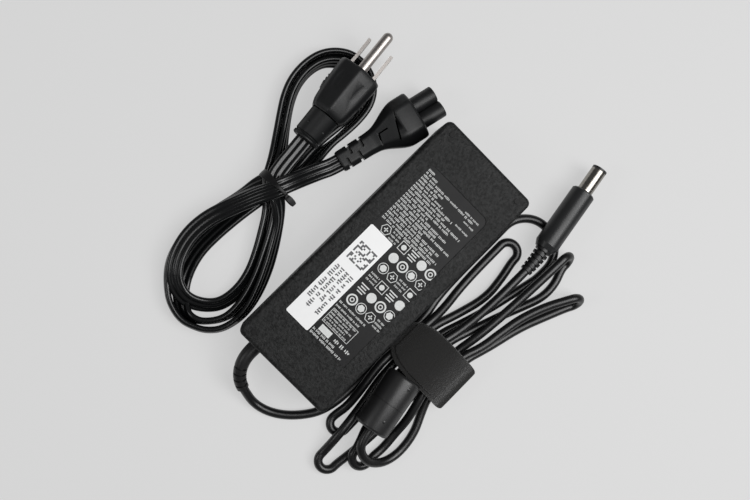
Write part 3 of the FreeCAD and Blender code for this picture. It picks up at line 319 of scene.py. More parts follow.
sticker_ink = Ink(sticker_high[2], 3)
square, squares = 0.00082, 12
block_x, block_y = sticker_high[0] - 0.0178, (sticker_low[1] + sticker_high[1]) / 2 - square * squares / 2
for row in range(squares):
    for column in range(squares):
        if row in (0, squares - 1) or column in (0, squares - 1) or sticker_ink.draw.random() < 0.46:
            if (row + column) % 5:
                sticker_ink.bar(block_x + square * column, block_y + square * row, square * 0.98, square * 0.98)
for k, long in enumerate((0.0185, 0.0235, 0.0165, 0.0215)):
    sticker_ink.words(block_x - 0.0055, sticker_high[1] - 0.0025 - 0.0027 * k, long, 0.00205, 180)
dark_ink = Paint("dark print", (0.06, 0.06, 0.065), 0.5)
dark_ink.show(Base_Color=dark_ink.blend(dark_ink.noise(2200, 2), (0.035, 0.035, 0.04), (0.12, 0.12, 0.125)))
piece("sticker_print", sticker_ink.form, dark_ink, "adapter", "sticker_paper")


# Mains inlet
# Black glass-filled moulding in the end wall with three tin-plated pins for the lead's connector.
inlet_paint = Paint("inlet plastic", (0.006, 0.006, 0.006), 0.35)
inlet_paint.relief(inlet_paint.noise(1100, 2), 0.00005, 0.5)
inlet_paint.show(Roughness=0.28 + inlet_paint.noise(150, 2) * 0.16)
finish_node(inlet_paint, "inlet_housing")

contact_paint = Paint("tin plate", (0.7, 0.69, 0.66), 0.25, Metallic=1)
contact_paint.relief(contact_paint.noise(500, 2, vector=contact_paint.stretched(0.15, 1, 1)), 0.00002, 0.4)
contact_paint.show(Roughness=0.2 + contact_paint.noise(400, 2) * 0.16)
finish_node(contact_paint, "inlet_pins", "plug_centre_pin", "connector_contacts")


# Circuit board
# Green glass-epoxy laminate on four posts, with paler copper tracks under the mask, over a sheet of
# insulating film.
board_paint = Paint("green laminate", (0.02, 0.11, 0.05), 0.35)
x, y, z = board_paint.along()
tracks = board_paint.noise(110, 1, 0.2, board_paint.stretched(1, 0.25, 1)).above(0.52)
board_paint.show(Base_Color=board_paint.blend(tracks, (0.012, 0.075, 0.035), (0.03, 0.16, 0.06)))
board_paint.relief(x.wave(0.0008) * y.wave(0.0008), 0.00003, 0.5)
finish_node(board_paint, "circuit_board")

film_paint = Paint("insulating film", (0.62, 0.6, 0.52), 0.3)
film_paint.show(Base_Color=film_paint.blend(film_paint.noise(90, 3), (0.56, 0.54, 0.46), (0.68, 0.66, 0.58)))
film_paint.relief(film_paint.noise(60, 2), 0.0002, 0.4)
finish_node(film_paint, "insulation_sheet")


# Mains side of the board
# Fuse, varistor and capacitors, then the toroid choke, bridge, boost inductor and bulk capacitor, with
# the transistors clamped to an aluminium plate.
def plain_paint(name, dark, light, roughness, grain_scale, depth, **constants):
    """A finish whose colour drifts between two shades over a fine grain."""
    paint = Paint(name, dark, roughness, **constants)
    speck = paint.noise(grain_scale, 3)
    paint.show(Base_Color=paint.blend(speck, dark, light), Roughness=roughness - 0.06 + speck * 0.12)
    paint.relief(speck, depth, 0.6)
    return paint


finish_node(plain_paint("fuse ceramic", (0.6, 0.57, 0.5), (0.74, 0.72, 0.66), 0.4, 700, 0.00004), "fuse")
finish_node(plain_paint("blue coating", (0.02, 0.08, 0.32), (0.04, 0.14, 0.42), 0.25, 260, 0.00008),
            "varistor", "y_capacitor")
finish_node(plain_paint("capacitor case", (0.58, 0.42, 0.06), (0.7, 0.52, 0.1), 0.4, 500, 0.00004), "x_capacitor")
finish_node(plain_paint("ferrite ceramic", (0.012, 0.012, 0.013), (0.035, 0.034, 0.036), 0.55, 900, 0.0001),
            "mains_choke_core", "transformer_core", "ferrite_core")
finish_node(plain_paint("package plastic", (0.008, 0.008, 0.009), (0.022, 0.022, 0.024), 0.5, 1200, 0.00005),
            "bridge_rectifier", "switching_transistors", "optocoupler", "output_rectifier", "control_chip")

copper_paint = Paint("enamelled copper", (0.62, 0.22, 0.08), 0.28, Metallic=0.9)
x, y, z = copper_paint.along()
turns = (x + y * 0.6 + z * 0.4).wave(0.0011)
# The colour follows the same wave as the relief and is darker in the grooves between the turns: painted shade.
copper_paint.show(Base_Color=copper_paint.blend(turns, (0.28, 0.08, 0.03), (0.7, 0.28, 0.1)))
copper_paint.relief(turns, 0.0003, 0.8)
finish_node(copper_paint, "mains_choke_windings", "output_choke")

tape_paint = Paint("winding tape", (0.62, 0.48, 0.06), 0.35)
x, y, z = tape_paint.along()
layers = z.wave(0.0052)
tape_paint.show(Base_Color=tape_paint.blend(layers.above(0.94), (0.6, 0.46, 0.06), (0.3, 0.2, 0.03)),
                Roughness=0.3 + tape_paint.noise(200, 2) * 0.15)
tape_paint.relief(tape_paint.noise(140, 2, vector=tape_paint.stretched(1, 1, 6)), 0.00015, 0.6)
finish_node(tape_paint, "boost_inductor", "transformer_coil")

sleeve_paint = Paint("capacitor sleeve", (0.012, 0.012, 0.03), 0.3)
x, y, z = sleeve_paint.along()
stripe = (y + sleeve_paint.noise(30, 1) * 0.001).wave(0.0088).above(0.9)
sleeve_paint.show(Base_Color=sleeve_paint.blend(stripe, (0.008, 0.009, 0.02), (0.45, 0.46, 0.47)))
sleeve_paint.relief(sleeve_paint.noise(500, 2), 0.00003, 0.5)
finish_node(sleeve_paint, "bulk_capacitor", "output_capacitors")

plate_paint = Paint("rolled aluminium", (0.66, 0.67, 0.69), 0.35, Metallic=1)
rolled_grain = plate_paint.noise(900, 3, 0.6, plate_paint.stretched(0.06, 1, 1))
plate_paint.show(Base_Color=plate_paint.blend(rolled_grain, (0.52, 0.53, 0.55), (0.76, 0.77, 0.78)),
                 Roughness=0.28 + rolled_grain * 0.16)
plate_paint.relief(rolled_grain, 0.00004, 0.5)
finish_node(plate_paint, "primary_heatsink", "secondary_heatsink")


# Output wires
# Two short insulated wires from the board to the strain relief, one of each colour.
wire_paint = Paint("wire insulation", (0.4, 0.02, 0.02), 0.3)
middle_y = (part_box("output_wires")[0][1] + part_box("output_wires")[1][1]) / 2
second = wire_paint.along()[1].above(middle_y)
wire_paint.show(Base_Color=wire_paint.blend(second, (0.02, 0.02, 0.02), (0.42, 0.03, 0.02)),
                Roughness=0.26 + wire_paint.noise(300, 2) * 0.14)
wire_paint.relief(wire_paint.noise(600, 2), 0.00003, 0.5)
finish_node(wire_paint, "output_wires")


# Low-voltage cord
# Round 4.2 mm cord with a satin black jacket. It leaves the casing through a bent relief, lies along the
# table, and is folded eight times through the strap before it runs through the ferrite to the plug.
def half_turn(start, heading, end, steps=4):
    """Route points round half a circle from start to end, leaving start along heading."""
    start, end, heading = Vector(start), Vector(end), Vector(heading)
    middle = (start + end) * 0.5
    out = (start - middle).normalized()
    radius = (start - middle).length
    ahead = (heading - out * out.dot(heading)).normalized()
    step = math.pi / steps
    reach = radius / math.cos(step / 2)
    lead = ahead * (radius * math.tan(step / 2))
    turns = [middle + (out * math.cos(step * (k + 0.5)) + ahead * math.sin(step * (k + 0.5))) * reach
             for k in range(steps)]
    return [tuple(p) for p in [start - lead] + turns + [end - lead]]


def cord_curve(name, points, radius):
    """A smooth curve that the points steer, as thick as the cord, rolled by a fourth number in degrees."""
    curve = bpy.data.curves.new(name, "CURVE")
    curve.dimensions = "3D"
    curve.resolution_u = 10
    curve.bevel_depth = radius
    curve.bevel_resolution = 6
    spline = curve.splines.new("NURBS")
    spline.points.add(len(points) - 1)
    for point, place in zip(spline.points, points):
        point.co = (*place[:3], 1)
        point.tilt = math.radians(place[3]) if len(place) > 3 else 0
    spline.order_u = 3
    spline.use_endpoint_u = True
    item = bpy.data.objects.new(name, curve)
    bpy.context.scene.collection.objects.link(item)
    return item


cord_thick = 0.0042
relief_tip = (-0.08369, 0.00572, 0.00902)
ferrite_enter = Vector((-0.0564, -0.04812, 0.015))
ferrite_leave = Vector((-0.02835, -0.04307, 0.015))
ferrite_way = (ferrite_leave - ferrite_enter).normalized()
cord_route = [relief_tip, (-0.08488, 0.00198, 0.00661), (-0.0859, -0.0036, 0.0034), (-0.0846, -0.0102, 0.0022),
              (-0.081, -0.0166, 0.0022), (-0.0753, -0.0227, 0.0022), (-0.0679, -0.0279, 0.0022),
              (-0.059, -0.0303, 0.0022), (-0.049, -0.031, 0.0023), (-0.04, -0.0314, 0.003),
              (-0.034, -0.0314, 0.004), (-0.02, -0.0314, 0.004), (-0.0025, -0.0318, 0.0041),
              (0.007, -0.0297, 0.0026), (0.02, -0.0289, 0.0023), (0.04, -0.0289, 0.0023)]
cord_route += half_turn((0.0547, -0.0289, 0.0023), (1, 0, 0), (0.0547, -0.0572, 0.0023))
cord_route += [(0.045, -0.0564, 0.0023), (0.033, -0.0536, 0.0023), (0.02, -0.0504, 0.0023),
               (0.008, -0.0466, 0.0026), (-0.0045, -0.0419, 0.004), (-0.027, -0.0418, 0.004),
               (-0.038, -0.0414, 0.0026), (-0.052, -0.0422, 0.0023)]
cord_route += half_turn((-0.0653, -0.0424, 0.0023), (-1, 0, 0), (-0.0653, -0.0342, 0.0023))
cord_route += [(-0.057, -0.0352, 0.0039), (-0.0475, -0.0338, 0.0073), (-0.037, -0.032, 0.0084),
               (-0.027, -0.0314, 0.0089), (-0.0045, -0.0343, 0.0084), (0.007, -0.0351, 0.0052),
               (0.018, -0.0342, 0.0027), (0.03, -0.0337, 0.0023)]
cord_route += half_turn((0.0473, -0.0337, 0.0023), (1, 0, 0), (0.0473, -0.0431, 0.0023))
cord_route += [(0.037, -0.0449, 0.0023), (0.025, -0.0462, 0.0023), (0.01, -0.0421, 0.0026),
               (-0.0045, -0.0367, 0.004), (-0.027, -0.0366, 0.004), (-0.038, -0.037, 0.0044),
               (-0.049, -0.0388, 0.0063), (-0.06, -0.0402, 0.0073), (-0.07, -0.0412, 0.0073)]
cord_route += half_turn((-0.081, -0.0422, 0.0036), (-1, 0, 0), (-0.081, -0.0508, 0.0023))
cord_route += [(-0.072, -0.0519, 0.0023), (-0.06, -0.0532, 0.0023), (-0.045, -0.0535, 0.0024),
               (-0.027, -0.0534, 0.004), (-0.0045, -0.0534, 0.004), (0.008, -0.0554, 0.0064),
               (0.022, -0.0567, 0.0074), (0.036, -0.0574, 0.0083), (0.05, -0.0579, 0.0094)]
cord_route += half_turn((0.062, -0.0583, 0.0099), (1, -0.03, 0), (0.062, -0.0624, 0.0023))
cord_route += [(0.053, -0.0652, 0.0023), (0.044, -0.0654, 0.0023), (0.034, -0.0616, 0.0023),
               (0.023, -0.057, 0.0023), (0.009, -0.0521, 0.0026), (-0.0045, -0.0471, 0.004),
               (-0.027, -0.047, 0.004), (-0.038, -0.0472, 0.0026), (-0.048, -0.0476, 0.0024),
               (-0.057, -0.0482, 0.0036), (-0.063, -0.05, 0.0072)]
cord_route += half_turn((-0.069, -0.0516, 0.0076), (-1, -0.15, 0), (-0.0676, -0.0606, 0.0032))
cord_route += [(-0.059, -0.0612, 0.0023), (-0.05, -0.0602, 0.0032), (-0.042, -0.0594, 0.0054),
               (-0.033, -0.0568, 0.008), (-0.027, -0.0548, 0.0087), (-0.0045, -0.056, 0.0086),
               (0.006, -0.0602, 0.008), (0.017, -0.0618, 0.0079), (0.029, -0.0639, 0.0081),
               (0.041, -0.0682, 0.0089)]
cord_route += half_turn((0.0525, -0.0744, 0.0099), (0.87, -0.5, 0), (0.0504, -0.078, 0.0023))
cord_route += [(0.04, -0.0734, 0.0023), (0.0258, -0.0676, 0.0023), (0.009, -0.0636, 0.0025),
               (-0.0045, -0.0589, 0.004), (-0.027, -0.0588, 0.004), (-0.035, -0.0624, 0.0026),
               (-0.044, -0.0668, 0.0023), (-0.055, -0.0682, 0.0026), (-0.0636, -0.0656, 0.0052),
               (-0.0682, -0.0596, 0.0102), (-0.0672, -0.0526, 0.0138), tuple(ferrite_enter - ferrite_way * 0.006),
               tuple(ferrite_enter)]
cord_end_route = [tuple(ferrite_leave), tuple(ferrite_leave + ferrite_way * 0.006), (-0.0155, -0.0419, 0.0134),
                  (-0.007, -0.044, 0.011), (0.004, -0.0469, 0.0098), (0.016, -0.0484, 0.0099),
                  (0.029, -0.0491, 0.0103), (0.03985, -0.04914, 0.0104), (0.04585, -0.04916, 0.0104)]

jacket_paint = Paint("satin jacket", (0.0045, 0.0045, 0.005), 0.32)
jacket_paint.relief(jacket_paint.noise(800, 2), 0.00003, 0.4)
jacket_paint.show(Base_Color=jacket_paint.blend(jacket_paint.noise(70, 3), (0.0035, 0.0035, 0.004),
                                                (0.007, 0.007, 0.0075)),
                  Roughness=0.26 + jacket_paint.noise(90, 2) * 0.14)
relief_paint = Paint("relief rubber", (0.006, 0.006, 0.0065), 0.4)
relief_paint.relief(relief_paint.noise(900, 3), 0.00006, 0.6)
relief_paint.show(Roughness=0.34 + relief_paint.noise(120, 2) * 0.14)
finish_node(relief_paint, "dc_strain_relief", "plug_relief")

low_cord = cord_curve("low_voltage_cord", cord_route, cord_thick / 2)
low_cord.data.materials.append(jacket_paint.material)
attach(low_cord, "adapter")
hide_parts("dc_cord_start", "dc_cord_hank")

low_cord_end = cord_curve("low_voltage_cord_end", cord_end_route, cord_thick / 2)
low_cord_end.data.materials.append(jacket_paint.material)
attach(low_cord_end, "adapter")
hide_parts("dc_cord_end")


# Ferrite cover
# Glossy two-part moulding snapped round the core, its rims rounded. Two small gate marks are left where
# the plastic ran in.
def seat(place, turn):
    """Where a piece drawn along X from its own rear goes on the table."""
    return Matrix.Translation(place) @ Matrix.Rotation(math.radians(turn), 4, "Z")


def lathed(profile, steps=48):
    """A closed body of revolution about X from points (along, radius)."""
    form = bmesh.new()
    corners = [form.verts.new((along, 0, radius)) for along, radius in profile]
    seams = [form.edges.new((corners[k - 1], corners[k])) for k in range(len(corners))]
    bmesh.ops.spin(form, geom=corners + seams, cent=(0, 0, 0), axis=(1, 0, 0), angle=2 * math.pi,
                   steps=steps, use_merge=True)
    bmesh.ops.recalc_face_normals(form, faces=form.faces)
    return form


def quarter(along, radius, round_by, start, steps=5):
    """Profile points round a quarter circle from a start angle, turning back by 90 degrees."""
    angles = [math.radians(start - 90 * k / steps) for k in range(steps + 1)]
    return [(along + round_by * math.cos(a), radius + round_by * math.sin(a)) for a in angles]


def add_shape(form, shape, matrix=Matrix()):
    """Adds another shape's mesh to the form, moved by the matrix, and frees it."""
    copy = bpy.data.meshes.new("shape")
    bmesh.ops.transform(shape, matrix=matrix, verts=shape.verts)
    shape.to_mesh(copy)
    shape.free()
    form.from_mesh(copy)
    bpy.data.meshes.remove(copy)


ferrite_long, ferrite_radius, ferrite_turn, rim_round, cord_hole = 0.0285, 0.0086, 10.2, 0.0016, 0.0025
cover_paint = Paint("ferrite cover", (0.012, 0.012, 0.0125), 0.34)
cover_paint.relief(cover_paint.noise(700, 3), 0.00004, 0.5)
cover_paint.show(Base_Color=cover_paint.blend(cover_paint.noise(60, 3), (0.009, 0.009, 0.0095),
                                              (0.016, 0.016, 0.0165)),
                 Roughness=0.3 + cover_paint.noise(70, 3) * 0.12)
rear_rim = quarter(rim_round, ferrite_radius - rim_round, rim_round, 180)
front_rim = quarter(ferrite_long - rim_round, ferrite_radius - rim_round, rim_round, 90)
seam_groove = [(ferrite_long / 2 - 0.0002, ferrite_radius), (ferrite_long / 2 - 0.0001, ferrite_radius - 0.00015),
               (ferrite_long / 2 + 0.0001, ferrite_radius - 0.00015), (ferrite_long / 2 + 0.0002, ferrite_radius)]
cover = lathed([(0, cord_hole)] + rear_rim + seam_groove + front_rim + [(ferrite_long, cord_hole)], 64)
for gate_along, gate_aside in ((0.0066, -0.0021), (0.0246, -0.0032)):
    gate = lathed([(0, 0), (0.0003, 0), (0.0003, 0.0006), (0.0001, 0.0009), (0, 0.0009)][1:], 16)
    lift = math.sqrt(ferrite_radius ** 2 - gate_aside ** 2)
    tilt = math.asin(gate_aside / ferrite_radius)
    add_shape(cover, gate, Matrix.Translation((gate_along, gate_aside, lift - 0.0001))
              @ Matrix.Rotation(-tilt, 4, "X") @ Matrix.Rotation(-math.pi / 2, 4, "Y"))
bmesh.ops.transform(cover, matrix=seat(ferrite_enter, ferrite_turn), verts=cover.verts)
piece("ferrite_cover", cover, cover_paint, "adapter", "ferrite_cover", "ferrite_housing")


# Cord strap
# Hook-and-loop tape, fuzzy side out, wrapped once and a half round the folds. Its upper layer ends short
# of the lower one on the side towards the ferrite, and its two ends are pressed together at the far side.
def band(path, middle, steps):
    """A ribbon open at both ends: an edge along X, extruded from point to point of a path (y, z, half width)."""
    form = bmesh.new()
    y, z, half = path[0]
    rung = form.edges.new((form.verts.new((middle - half, y, z)), form.verts.new((middle + half, y, z))))
    rungs = bmesh.ops.subdivide_edges(form, edges=[rung], cuts=steps - 1)
    edges = [part for part in form.edges]
    for before, (y, z, half) in zip(path, path[1:]):
        grown = bmesh.ops.extrude_edge_only(form, edges=edges)["geom"]
        corners = [part for part in grown if isinstance(part, bmesh.types.BMVert)]
        edges = [part for part in grown if isinstance(part, bmesh.types.BMEdge)]
        stretch = Matrix.Translation((middle, y, z)) @ Matrix.Diagonal((half / before[2], 1, 1, 1))
        back = Matrix.Translation((-middle, -before[0], -before[1]))
        bmesh.ops.transform(form, matrix=stretch @ back, verts=corners)
    return form


def thicken(item, thick, soften, levels=2):
    """Gives a ribbon its thickness, softens the edges and smooths it."""
    wall = item.modifiers.new("thickness", "SOLIDIFY")
    wall.thickness, wall.offset = thick, 0
    rim = item.modifiers.new("soft edge", "BEVEL")
    rim.width, rim.segments, rim.limit_method, rim.angle_limit = soften, 1, "ANGLE", math.radians(50)
    smooth = item.modifiers.new("smooth", "SUBSURF")
    smooth.levels = smooth.render_levels = levels
    return item


strap_middle, strap_half, strap_thick = -0.0158, 0.0125, 0.0014
strap_paint = Paint("fuzzy loop tape", (0.02, 0.02, 0.02), 0.95, Sheen_Weight=0.35, Sheen_Roughness=0.5,
                    Specular_IOR_Level=0.2)
pile = strap_paint.noise(1500, 4, 0.75)
strap_paint.show(Base_Color=strap_paint.blend(pile, (0.007, 0.0069, 0.0067), (0.024, 0.0234, 0.0228)))
strap_paint.relief(pile + strap_paint.noise(350, 3) * 0.6, 0.0005, 1.0)
strap_path = [(-0.0592, 0.0009, 0.95), (-0.046, 0.0008, 0.95), (-0.036, 0.0009, 0.9), (-0.0302, 0.002, 0.72),
              (-0.0288, 0.0056, 0.6), (-0.0289, 0.0094, 0.6), (-0.0306, 0.0128, 0.76), (-0.0342, 0.0157, 0.93),
              (-0.0396, 0.0177, 1), (-0.0466, 0.0184, 1), (-0.0528, 0.0174, 0.99), (-0.058, 0.0148, 0.99),
              (-0.0612, 0.0118, 1), (-0.063, 0.0096, 1), (-0.0652, 0.0087, 0.98), (-0.0664, 0.0085, 0.9)]
strap = piece("strap", band([(y, z, strap_half * wide) for y, z, wide in strap_path], strap_middle, 6),
              strap_paint, "adapter", "strap_fabric", "cord_strap")
thicken(strap, strap_thick, 0.0004)
under_path = [(-0.0656, 0.0069, 0.94), (-0.0632, 0.0066, 0.95), (-0.0618, 0.0046, 0.95), (-0.0602, 0.0023, 0.95)]
under = piece("strap_under_end", band([(y, z, strap_half * wide) for y, z, wide in under_path], strap_middle, 6),
              strap_paint, "adapter", "strap_fabric")
thicken(under, strap_thick, 0.0004)
lap_path = [(-0.0606, 0.0139, 0.86), (-0.0572, 0.0163, 0.9), (-0.0528, 0.0187, 0.91), (-0.0466, 0.0197, 0.91),
            (-0.0396, 0.019, 0.9), (-0.0336, 0.0164, 0.8), (-0.0304, 0.0136, 0.6)]
lap = piece("strap_lap", band([(y, z, strap_half * wide) for y, z, wide in lap_path], strap_middle + 0.0008, 6),
            strap_paint, "adapter", "strap_fabric")
thicken(lap, 0.0009, 0.0003)


# Round plug
# Overmoulded grip behind a bright two-pole barrel with a dark insulating ring at its tip, and a ringed
# relief over the cord.
grip_paint = Paint("grip moulding", (0.012, 0.0125, 0.013), 0.4, Specular_IOR_Level=0.4)
grip_paint.relief(grip_paint.noise(1000, 3), 0.00004, 0.5)
grip_paint.show(Base_Color=grip_paint.blend(grip_paint.noise(80, 2), (0.012, 0.0125, 0.013),
                                            (0.02, 0.021, 0.022)),
                Roughness=0.3 + grip_paint.noise(140, 2) * 0.12)
finish_node(grip_paint, "plug_body")

barrel_paint = Paint("nickelled barrel", (0.3, 0.285, 0.26), 0.22, Metallic=1)
turned = barrel_paint.noise(1600, 2, 0.5, barrel_paint.stretched(1, 0.12, 0.12))
barrel_paint.show(Base_Color=barrel_paint.blend(turned, (0.23, 0.215, 0.19), (0.36, 0.345, 0.32)),
                  Roughness=0.16 + turned * 0.1)
barrel_paint.relief(turned, 0.00002, 0.4)
finish_node(barrel_paint, "plug_barrel")
finish_node(plain_paint("tip ring", (0.01, 0.01, 0.01), (0.02, 0.02, 0.021), 0.4, 1200, 0.00003), "plug_tip_ring")


# Mains lead
# Flat black lead of three cores side by side, so that its jacket shows three ribs. It is looped five
# times and tied at the waist, on its edge in most of the loops and flat where it runs into its mouldings.
lead_wide, lead_thick, core_pitch = 0.0082, 0.0027, 0.00275
table_gap = 0.0002


def rest(roll):
    """Height of the lead's middle when it lies on the table rolled by so many degrees."""
    return (lead_wide - lead_thick) / 2 * math.sin(math.radians(abs(roll))) + lead_thick / 2 + table_gap


def laid(*points):
    """Points (x, y, roll) on the table, each with its height."""
    return [(x, y, rest(roll), roll) for x, y, roll in points]


lead_rear = (0.0195, 0.0473, 0.0088)
# From the connector, over the tie and flat round the left loop, on top of the two loops under it
lead_route = [(*lead_rear, 0), (0.015, 0.0485, 0.0089, 0), (0.0105, 0.0506, 0.01, 0), (0.0035, 0.0534, 0.0128, 0), (-0.003, 0.0558, 0.0162, 0),
              (-0.0085, 0.0578, 0.018, 0), (-0.0135, 0.06, 0.017, 4), (-0.018, 0.0623, 0.0152, 8), (-0.0235, 0.0646, 0.0128, 10),
              (-0.0329, 0.0683, 0.0104, 12), (-0.0424, 0.0711, 0.01, 12), (-0.0528, 0.0715, 0.0099, 14), (-0.0629, 0.0686, 0.0098, 14),
              (-0.0702, 0.0634, 0.009, 18), (-0.0738, 0.0565, 0.007, 26), (-0.0736, 0.0499, 0.005, 36)]
lead_route += laid((-0.0695, 0.0432, 45), (-0.0637, 0.0389, 48), (-0.0539, 0.0378, 50), (-0.0442, 0.0399, 52), (-0.0348, 0.0446, 56),
                   (-0.027, 0.0496, 64))
lead_route += [(-0.0201, 0.0547, 0.0044, 78), (-0.0148, 0.059, 0.0062, 66), (-0.0084, 0.0644, 0.0087, 36), (-0.0016, 0.0689, 0.007, 62),
               (0.0086, 0.0766, 0.0048, 76)]
# Round the right under the plug, and back to the tie at the bottom of the stack
lead_route += laid((0.0165, 0.0824, 80), (0.0234, 0.0869, 80), (0.031, 0.09, 80), (0.0395, 0.0909, 80), (0.048, 0.0894, 78), (0.0544, 0.085, 72),
                   (0.0586, 0.0784, 62), (0.0592, 0.07, 58), (0.056, 0.0624, 58), (0.0495, 0.0574, 60), (0.041, 0.0556, 66), (0.031, 0.0554, 76),
                   (0.023, 0.0562, 80), (0.012, 0.0566, 40), (0.004, 0.0576, 10), (-0.002, 0.06, 4), (-0.009, 0.062, 0))
# Second left loop, inside the first at the top and outside it at the bottom
lead_route += laid((-0.0166, 0.0616, 20), (-0.0238, 0.0626, 26), (-0.0323, 0.0636, 28), (-0.0433, 0.0644, 28), (-0.0537, 0.0644, 26),
                   (-0.0627, 0.0624, 20), (-0.0706, 0.0588, 10), (-0.0758, 0.0538, 22), (-0.0791, 0.0475, 50), (-0.0776, 0.0421, 76),
                   (-0.0747, 0.0383, 82), (-0.0694, 0.0343, 80), (-0.0633, 0.0326, 72), (-0.0539, 0.0332, 62), (-0.0424, 0.0369, 56),
                   (-0.0326, 0.042, 58), (-0.0246, 0.0466, 66))
lead_route += [(-0.016, 0.0526, 0.0052, 72), (-0.0105, 0.058, 0.0086, 46), (-0.0058, 0.0623, 0.0104, 34), (0.0006, 0.0663, 0.0076, 58),
               (0.0105, 0.0738, 0.0048, 74)]
lead_route += laid((0.0184, 0.0796, 80), (0.0252, 0.0839, 80), (0.032, 0.0866, 80), (0.0395, 0.0874, 80), (0.0464, 0.086, 78), (0.0513, 0.0822, 70),
                   (0.0547, 0.077, 62), (0.055, 0.0702, 58), (0.0522, 0.0646, 58), (0.047, 0.0611, 60), (0.04, 0.0596, 66), (0.031, 0.0595, 76),
                   (0.023, 0.0602, 80), (0.012, 0.0615, 58)) + [(0.004, 0.0618, 0.0049, 15), (-0.002, 0.0626, 0.0045, 3), (-0.009, 0.0641, 0.0044, 0)]
# Third left loop, outermost, and up over the tie into the plug
lead_route += [(-0.0135, 0.0666, 0.0045, 40)]
lead_route += laid((-0.0229, 0.0689, 76), (-0.0333, 0.0716, 82), (-0.0437, 0.0736, 82), (-0.0532, 0.0739, 82), (-0.0624, 0.0721, 82),
                   (-0.0696, 0.0686, 82), (-0.076, 0.0624, 82), (-0.0806, 0.0559, 82), (-0.0826, 0.047, 82), (-0.0801, 0.0398, 82),
                   (-0.0775, 0.0354, 82), (-0.0726, 0.0311, 82), (-0.0655, 0.0291, 80), (-0.0584, 0.0289, 74), (-0.049, 0.0312, 64),
                   (-0.0379, 0.036, 58), (-0.0282, 0.0416, 60))
lead_route += [(-0.0192, 0.0474, 0.0054, 70), (-0.0142, 0.0526, 0.0094, 45), (-0.0112, 0.0582, 0.0132, 20), (-0.007, 0.0626, 0.0148, 0),
               (-0.0005, 0.0639, 0.0144, 0), (0.0075, 0.0647, 0.0137, 0), (0.01473, 0.06551, 0.0137, 0)]

profile = bpy.data.curves.new("lead_profile", "CURVE")
profile.dimensions = "2D"
outline = profile.splines.new("POLY")
core = lead_thick / 2
upper = []
for k in range(33):
    x = lead_wide / 2 * math.cos(math.pi * k / 32)
    nearest = min(abs(x - c) for c in (-core_pitch, 0, core_pitch))
    web = 0.0009 if abs(x) < core_pitch else 0
    upper.append((x, max(math.sqrt(max(core ** 2 - nearest ** 2, 0)), web)))
rim = upper + [(x, -y) for x, y in upper[-2:0:-1]]
outline.points.add(len(rim) - 1)
for point, (x, y) in zip(outline.points, rim):
    point.co = (x, y, 0, 1)
outline.use_cyclic_u = True
profile_curve = bpy.data.objects.new("lead_profile", profile)
bpy.context.scene.collection.objects.link(profile_curve)
profile_curve.hide_render = True

lead_paint = Paint("lead jacket", (0.0035, 0.0037, 0.004), 0.24, Specular_IOR_Level=0.45)
lead_paint.relief(lead_paint.noise(700, 3), 0.00003, 0.5)
lead_paint.show(Base_Color=lead_paint.blend(lead_paint.noise(60, 3), (0.0025, 0.0027, 0.003),
                                            (0.005, 0.0055, 0.006)),
                Roughness=0.2 + lead_paint.noise(110, 2) * 0.08)
lead = cord_curve("mains_lead", lead_route, 0)
lead.data.bevel_mode = "OBJECT"
lead.data.bevel_object = profile_curve
lead.data.twist_mode = "Z_UP"
lead.data.use_fill_caps = True
lead.data.materials.append(lead_paint.material)
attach(lead, "power_cord")
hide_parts("mains_cord_to_connector", "mains_cord_hank")


# Appliance connector
# Three-lobed nose on a flared body, moulded onto the lead in satin black. Staggered slots make the neck
# bend, a groove runs across the top, and an angled mark shows which way up it goes.
def drawn(outline, stations):
    """A closed body: an outline across X, extruded from station to station (x, wide, high, aside, lift)."""
    form = bmesh.new()
    end = form.faces.new([form.verts.new((0, y, z)) for y, z in outline])
    last = Matrix()
    for k, (x, wide, high, *shift) in enumerate(stations):
        if k:
            grown = bmesh.ops.extrude_face_region(form, geom=[end])["geom"]
            end = [part for part in grown if isinstance(part, bmesh.types.BMFace)][0]
        place = Matrix.Translation((x, *(shift or (0, 0)))) @ Matrix.Diagonal((1, wide, high, 1))
        bmesh.ops.transform(form, matrix=place @ last.inverted(), verts=end.verts)
        last = place
    bmesh.ops.recalc_face_normals(form, faces=form.faces)
    return form


def worked(form, *steps):
    """The form after modifiers, each a kind and its settings. A form in the settings is a tool."""
    def blank(shape):
        mesh = bpy.data.meshes.new("blank")
        shape.to_mesh(mesh)
        shape.free()
        item = bpy.data.objects.new("blank", mesh)
        bpy.context.scene.collection.objects.link(item)
        return item

    item, tools = blank(form), []
    for kind, settings in steps:
        modifier = item.modifiers.new(kind, kind)
        for key, value in settings.items():
            if isinstance(value, bmesh.types.BMesh):
                value = blank(value)
                tools.append(value)
            setattr(modifier, key, value)
    bpy.context.view_layer.update()
    finished = bpy.data.meshes.new_from_object(item.evaluated_get(bpy.context.evaluated_depsgraph_get()))
    result = bmesh.new()
    result.from_mesh(finished)
    bpy.data.meshes.remove(finished)
    for spent in [item] + tools:
        mesh = spent.data
        bpy.data.objects.remove(spent)
        bpy.data.meshes.remove(mesh)
    return result


def cutting(tool, operation="DIFFERENCE"):
    return ("BOOLEAN", {"object": tool, "operation": operation, "solver": "EXACT"})


def softened(corners, reach, steps=4):
    """An outline whose corners are rounded, each from so far before it to as far after it."""
    points = []
    for k, corner in enumerate(corners):
        corner = Vector(corner)
        start, end = (corner + (Vector(other) - corner).normalized() * reach
                      for other in (corners[k - 1], corners[(k + 1) % len(corners)]))
        for share in (step / steps for step in range(steps + 1)):
            point = start * (1 - share) ** 2 + corner * 2 * share * (1 - share) + end * share ** 2
            points.append((point.x, point.y))
    return points


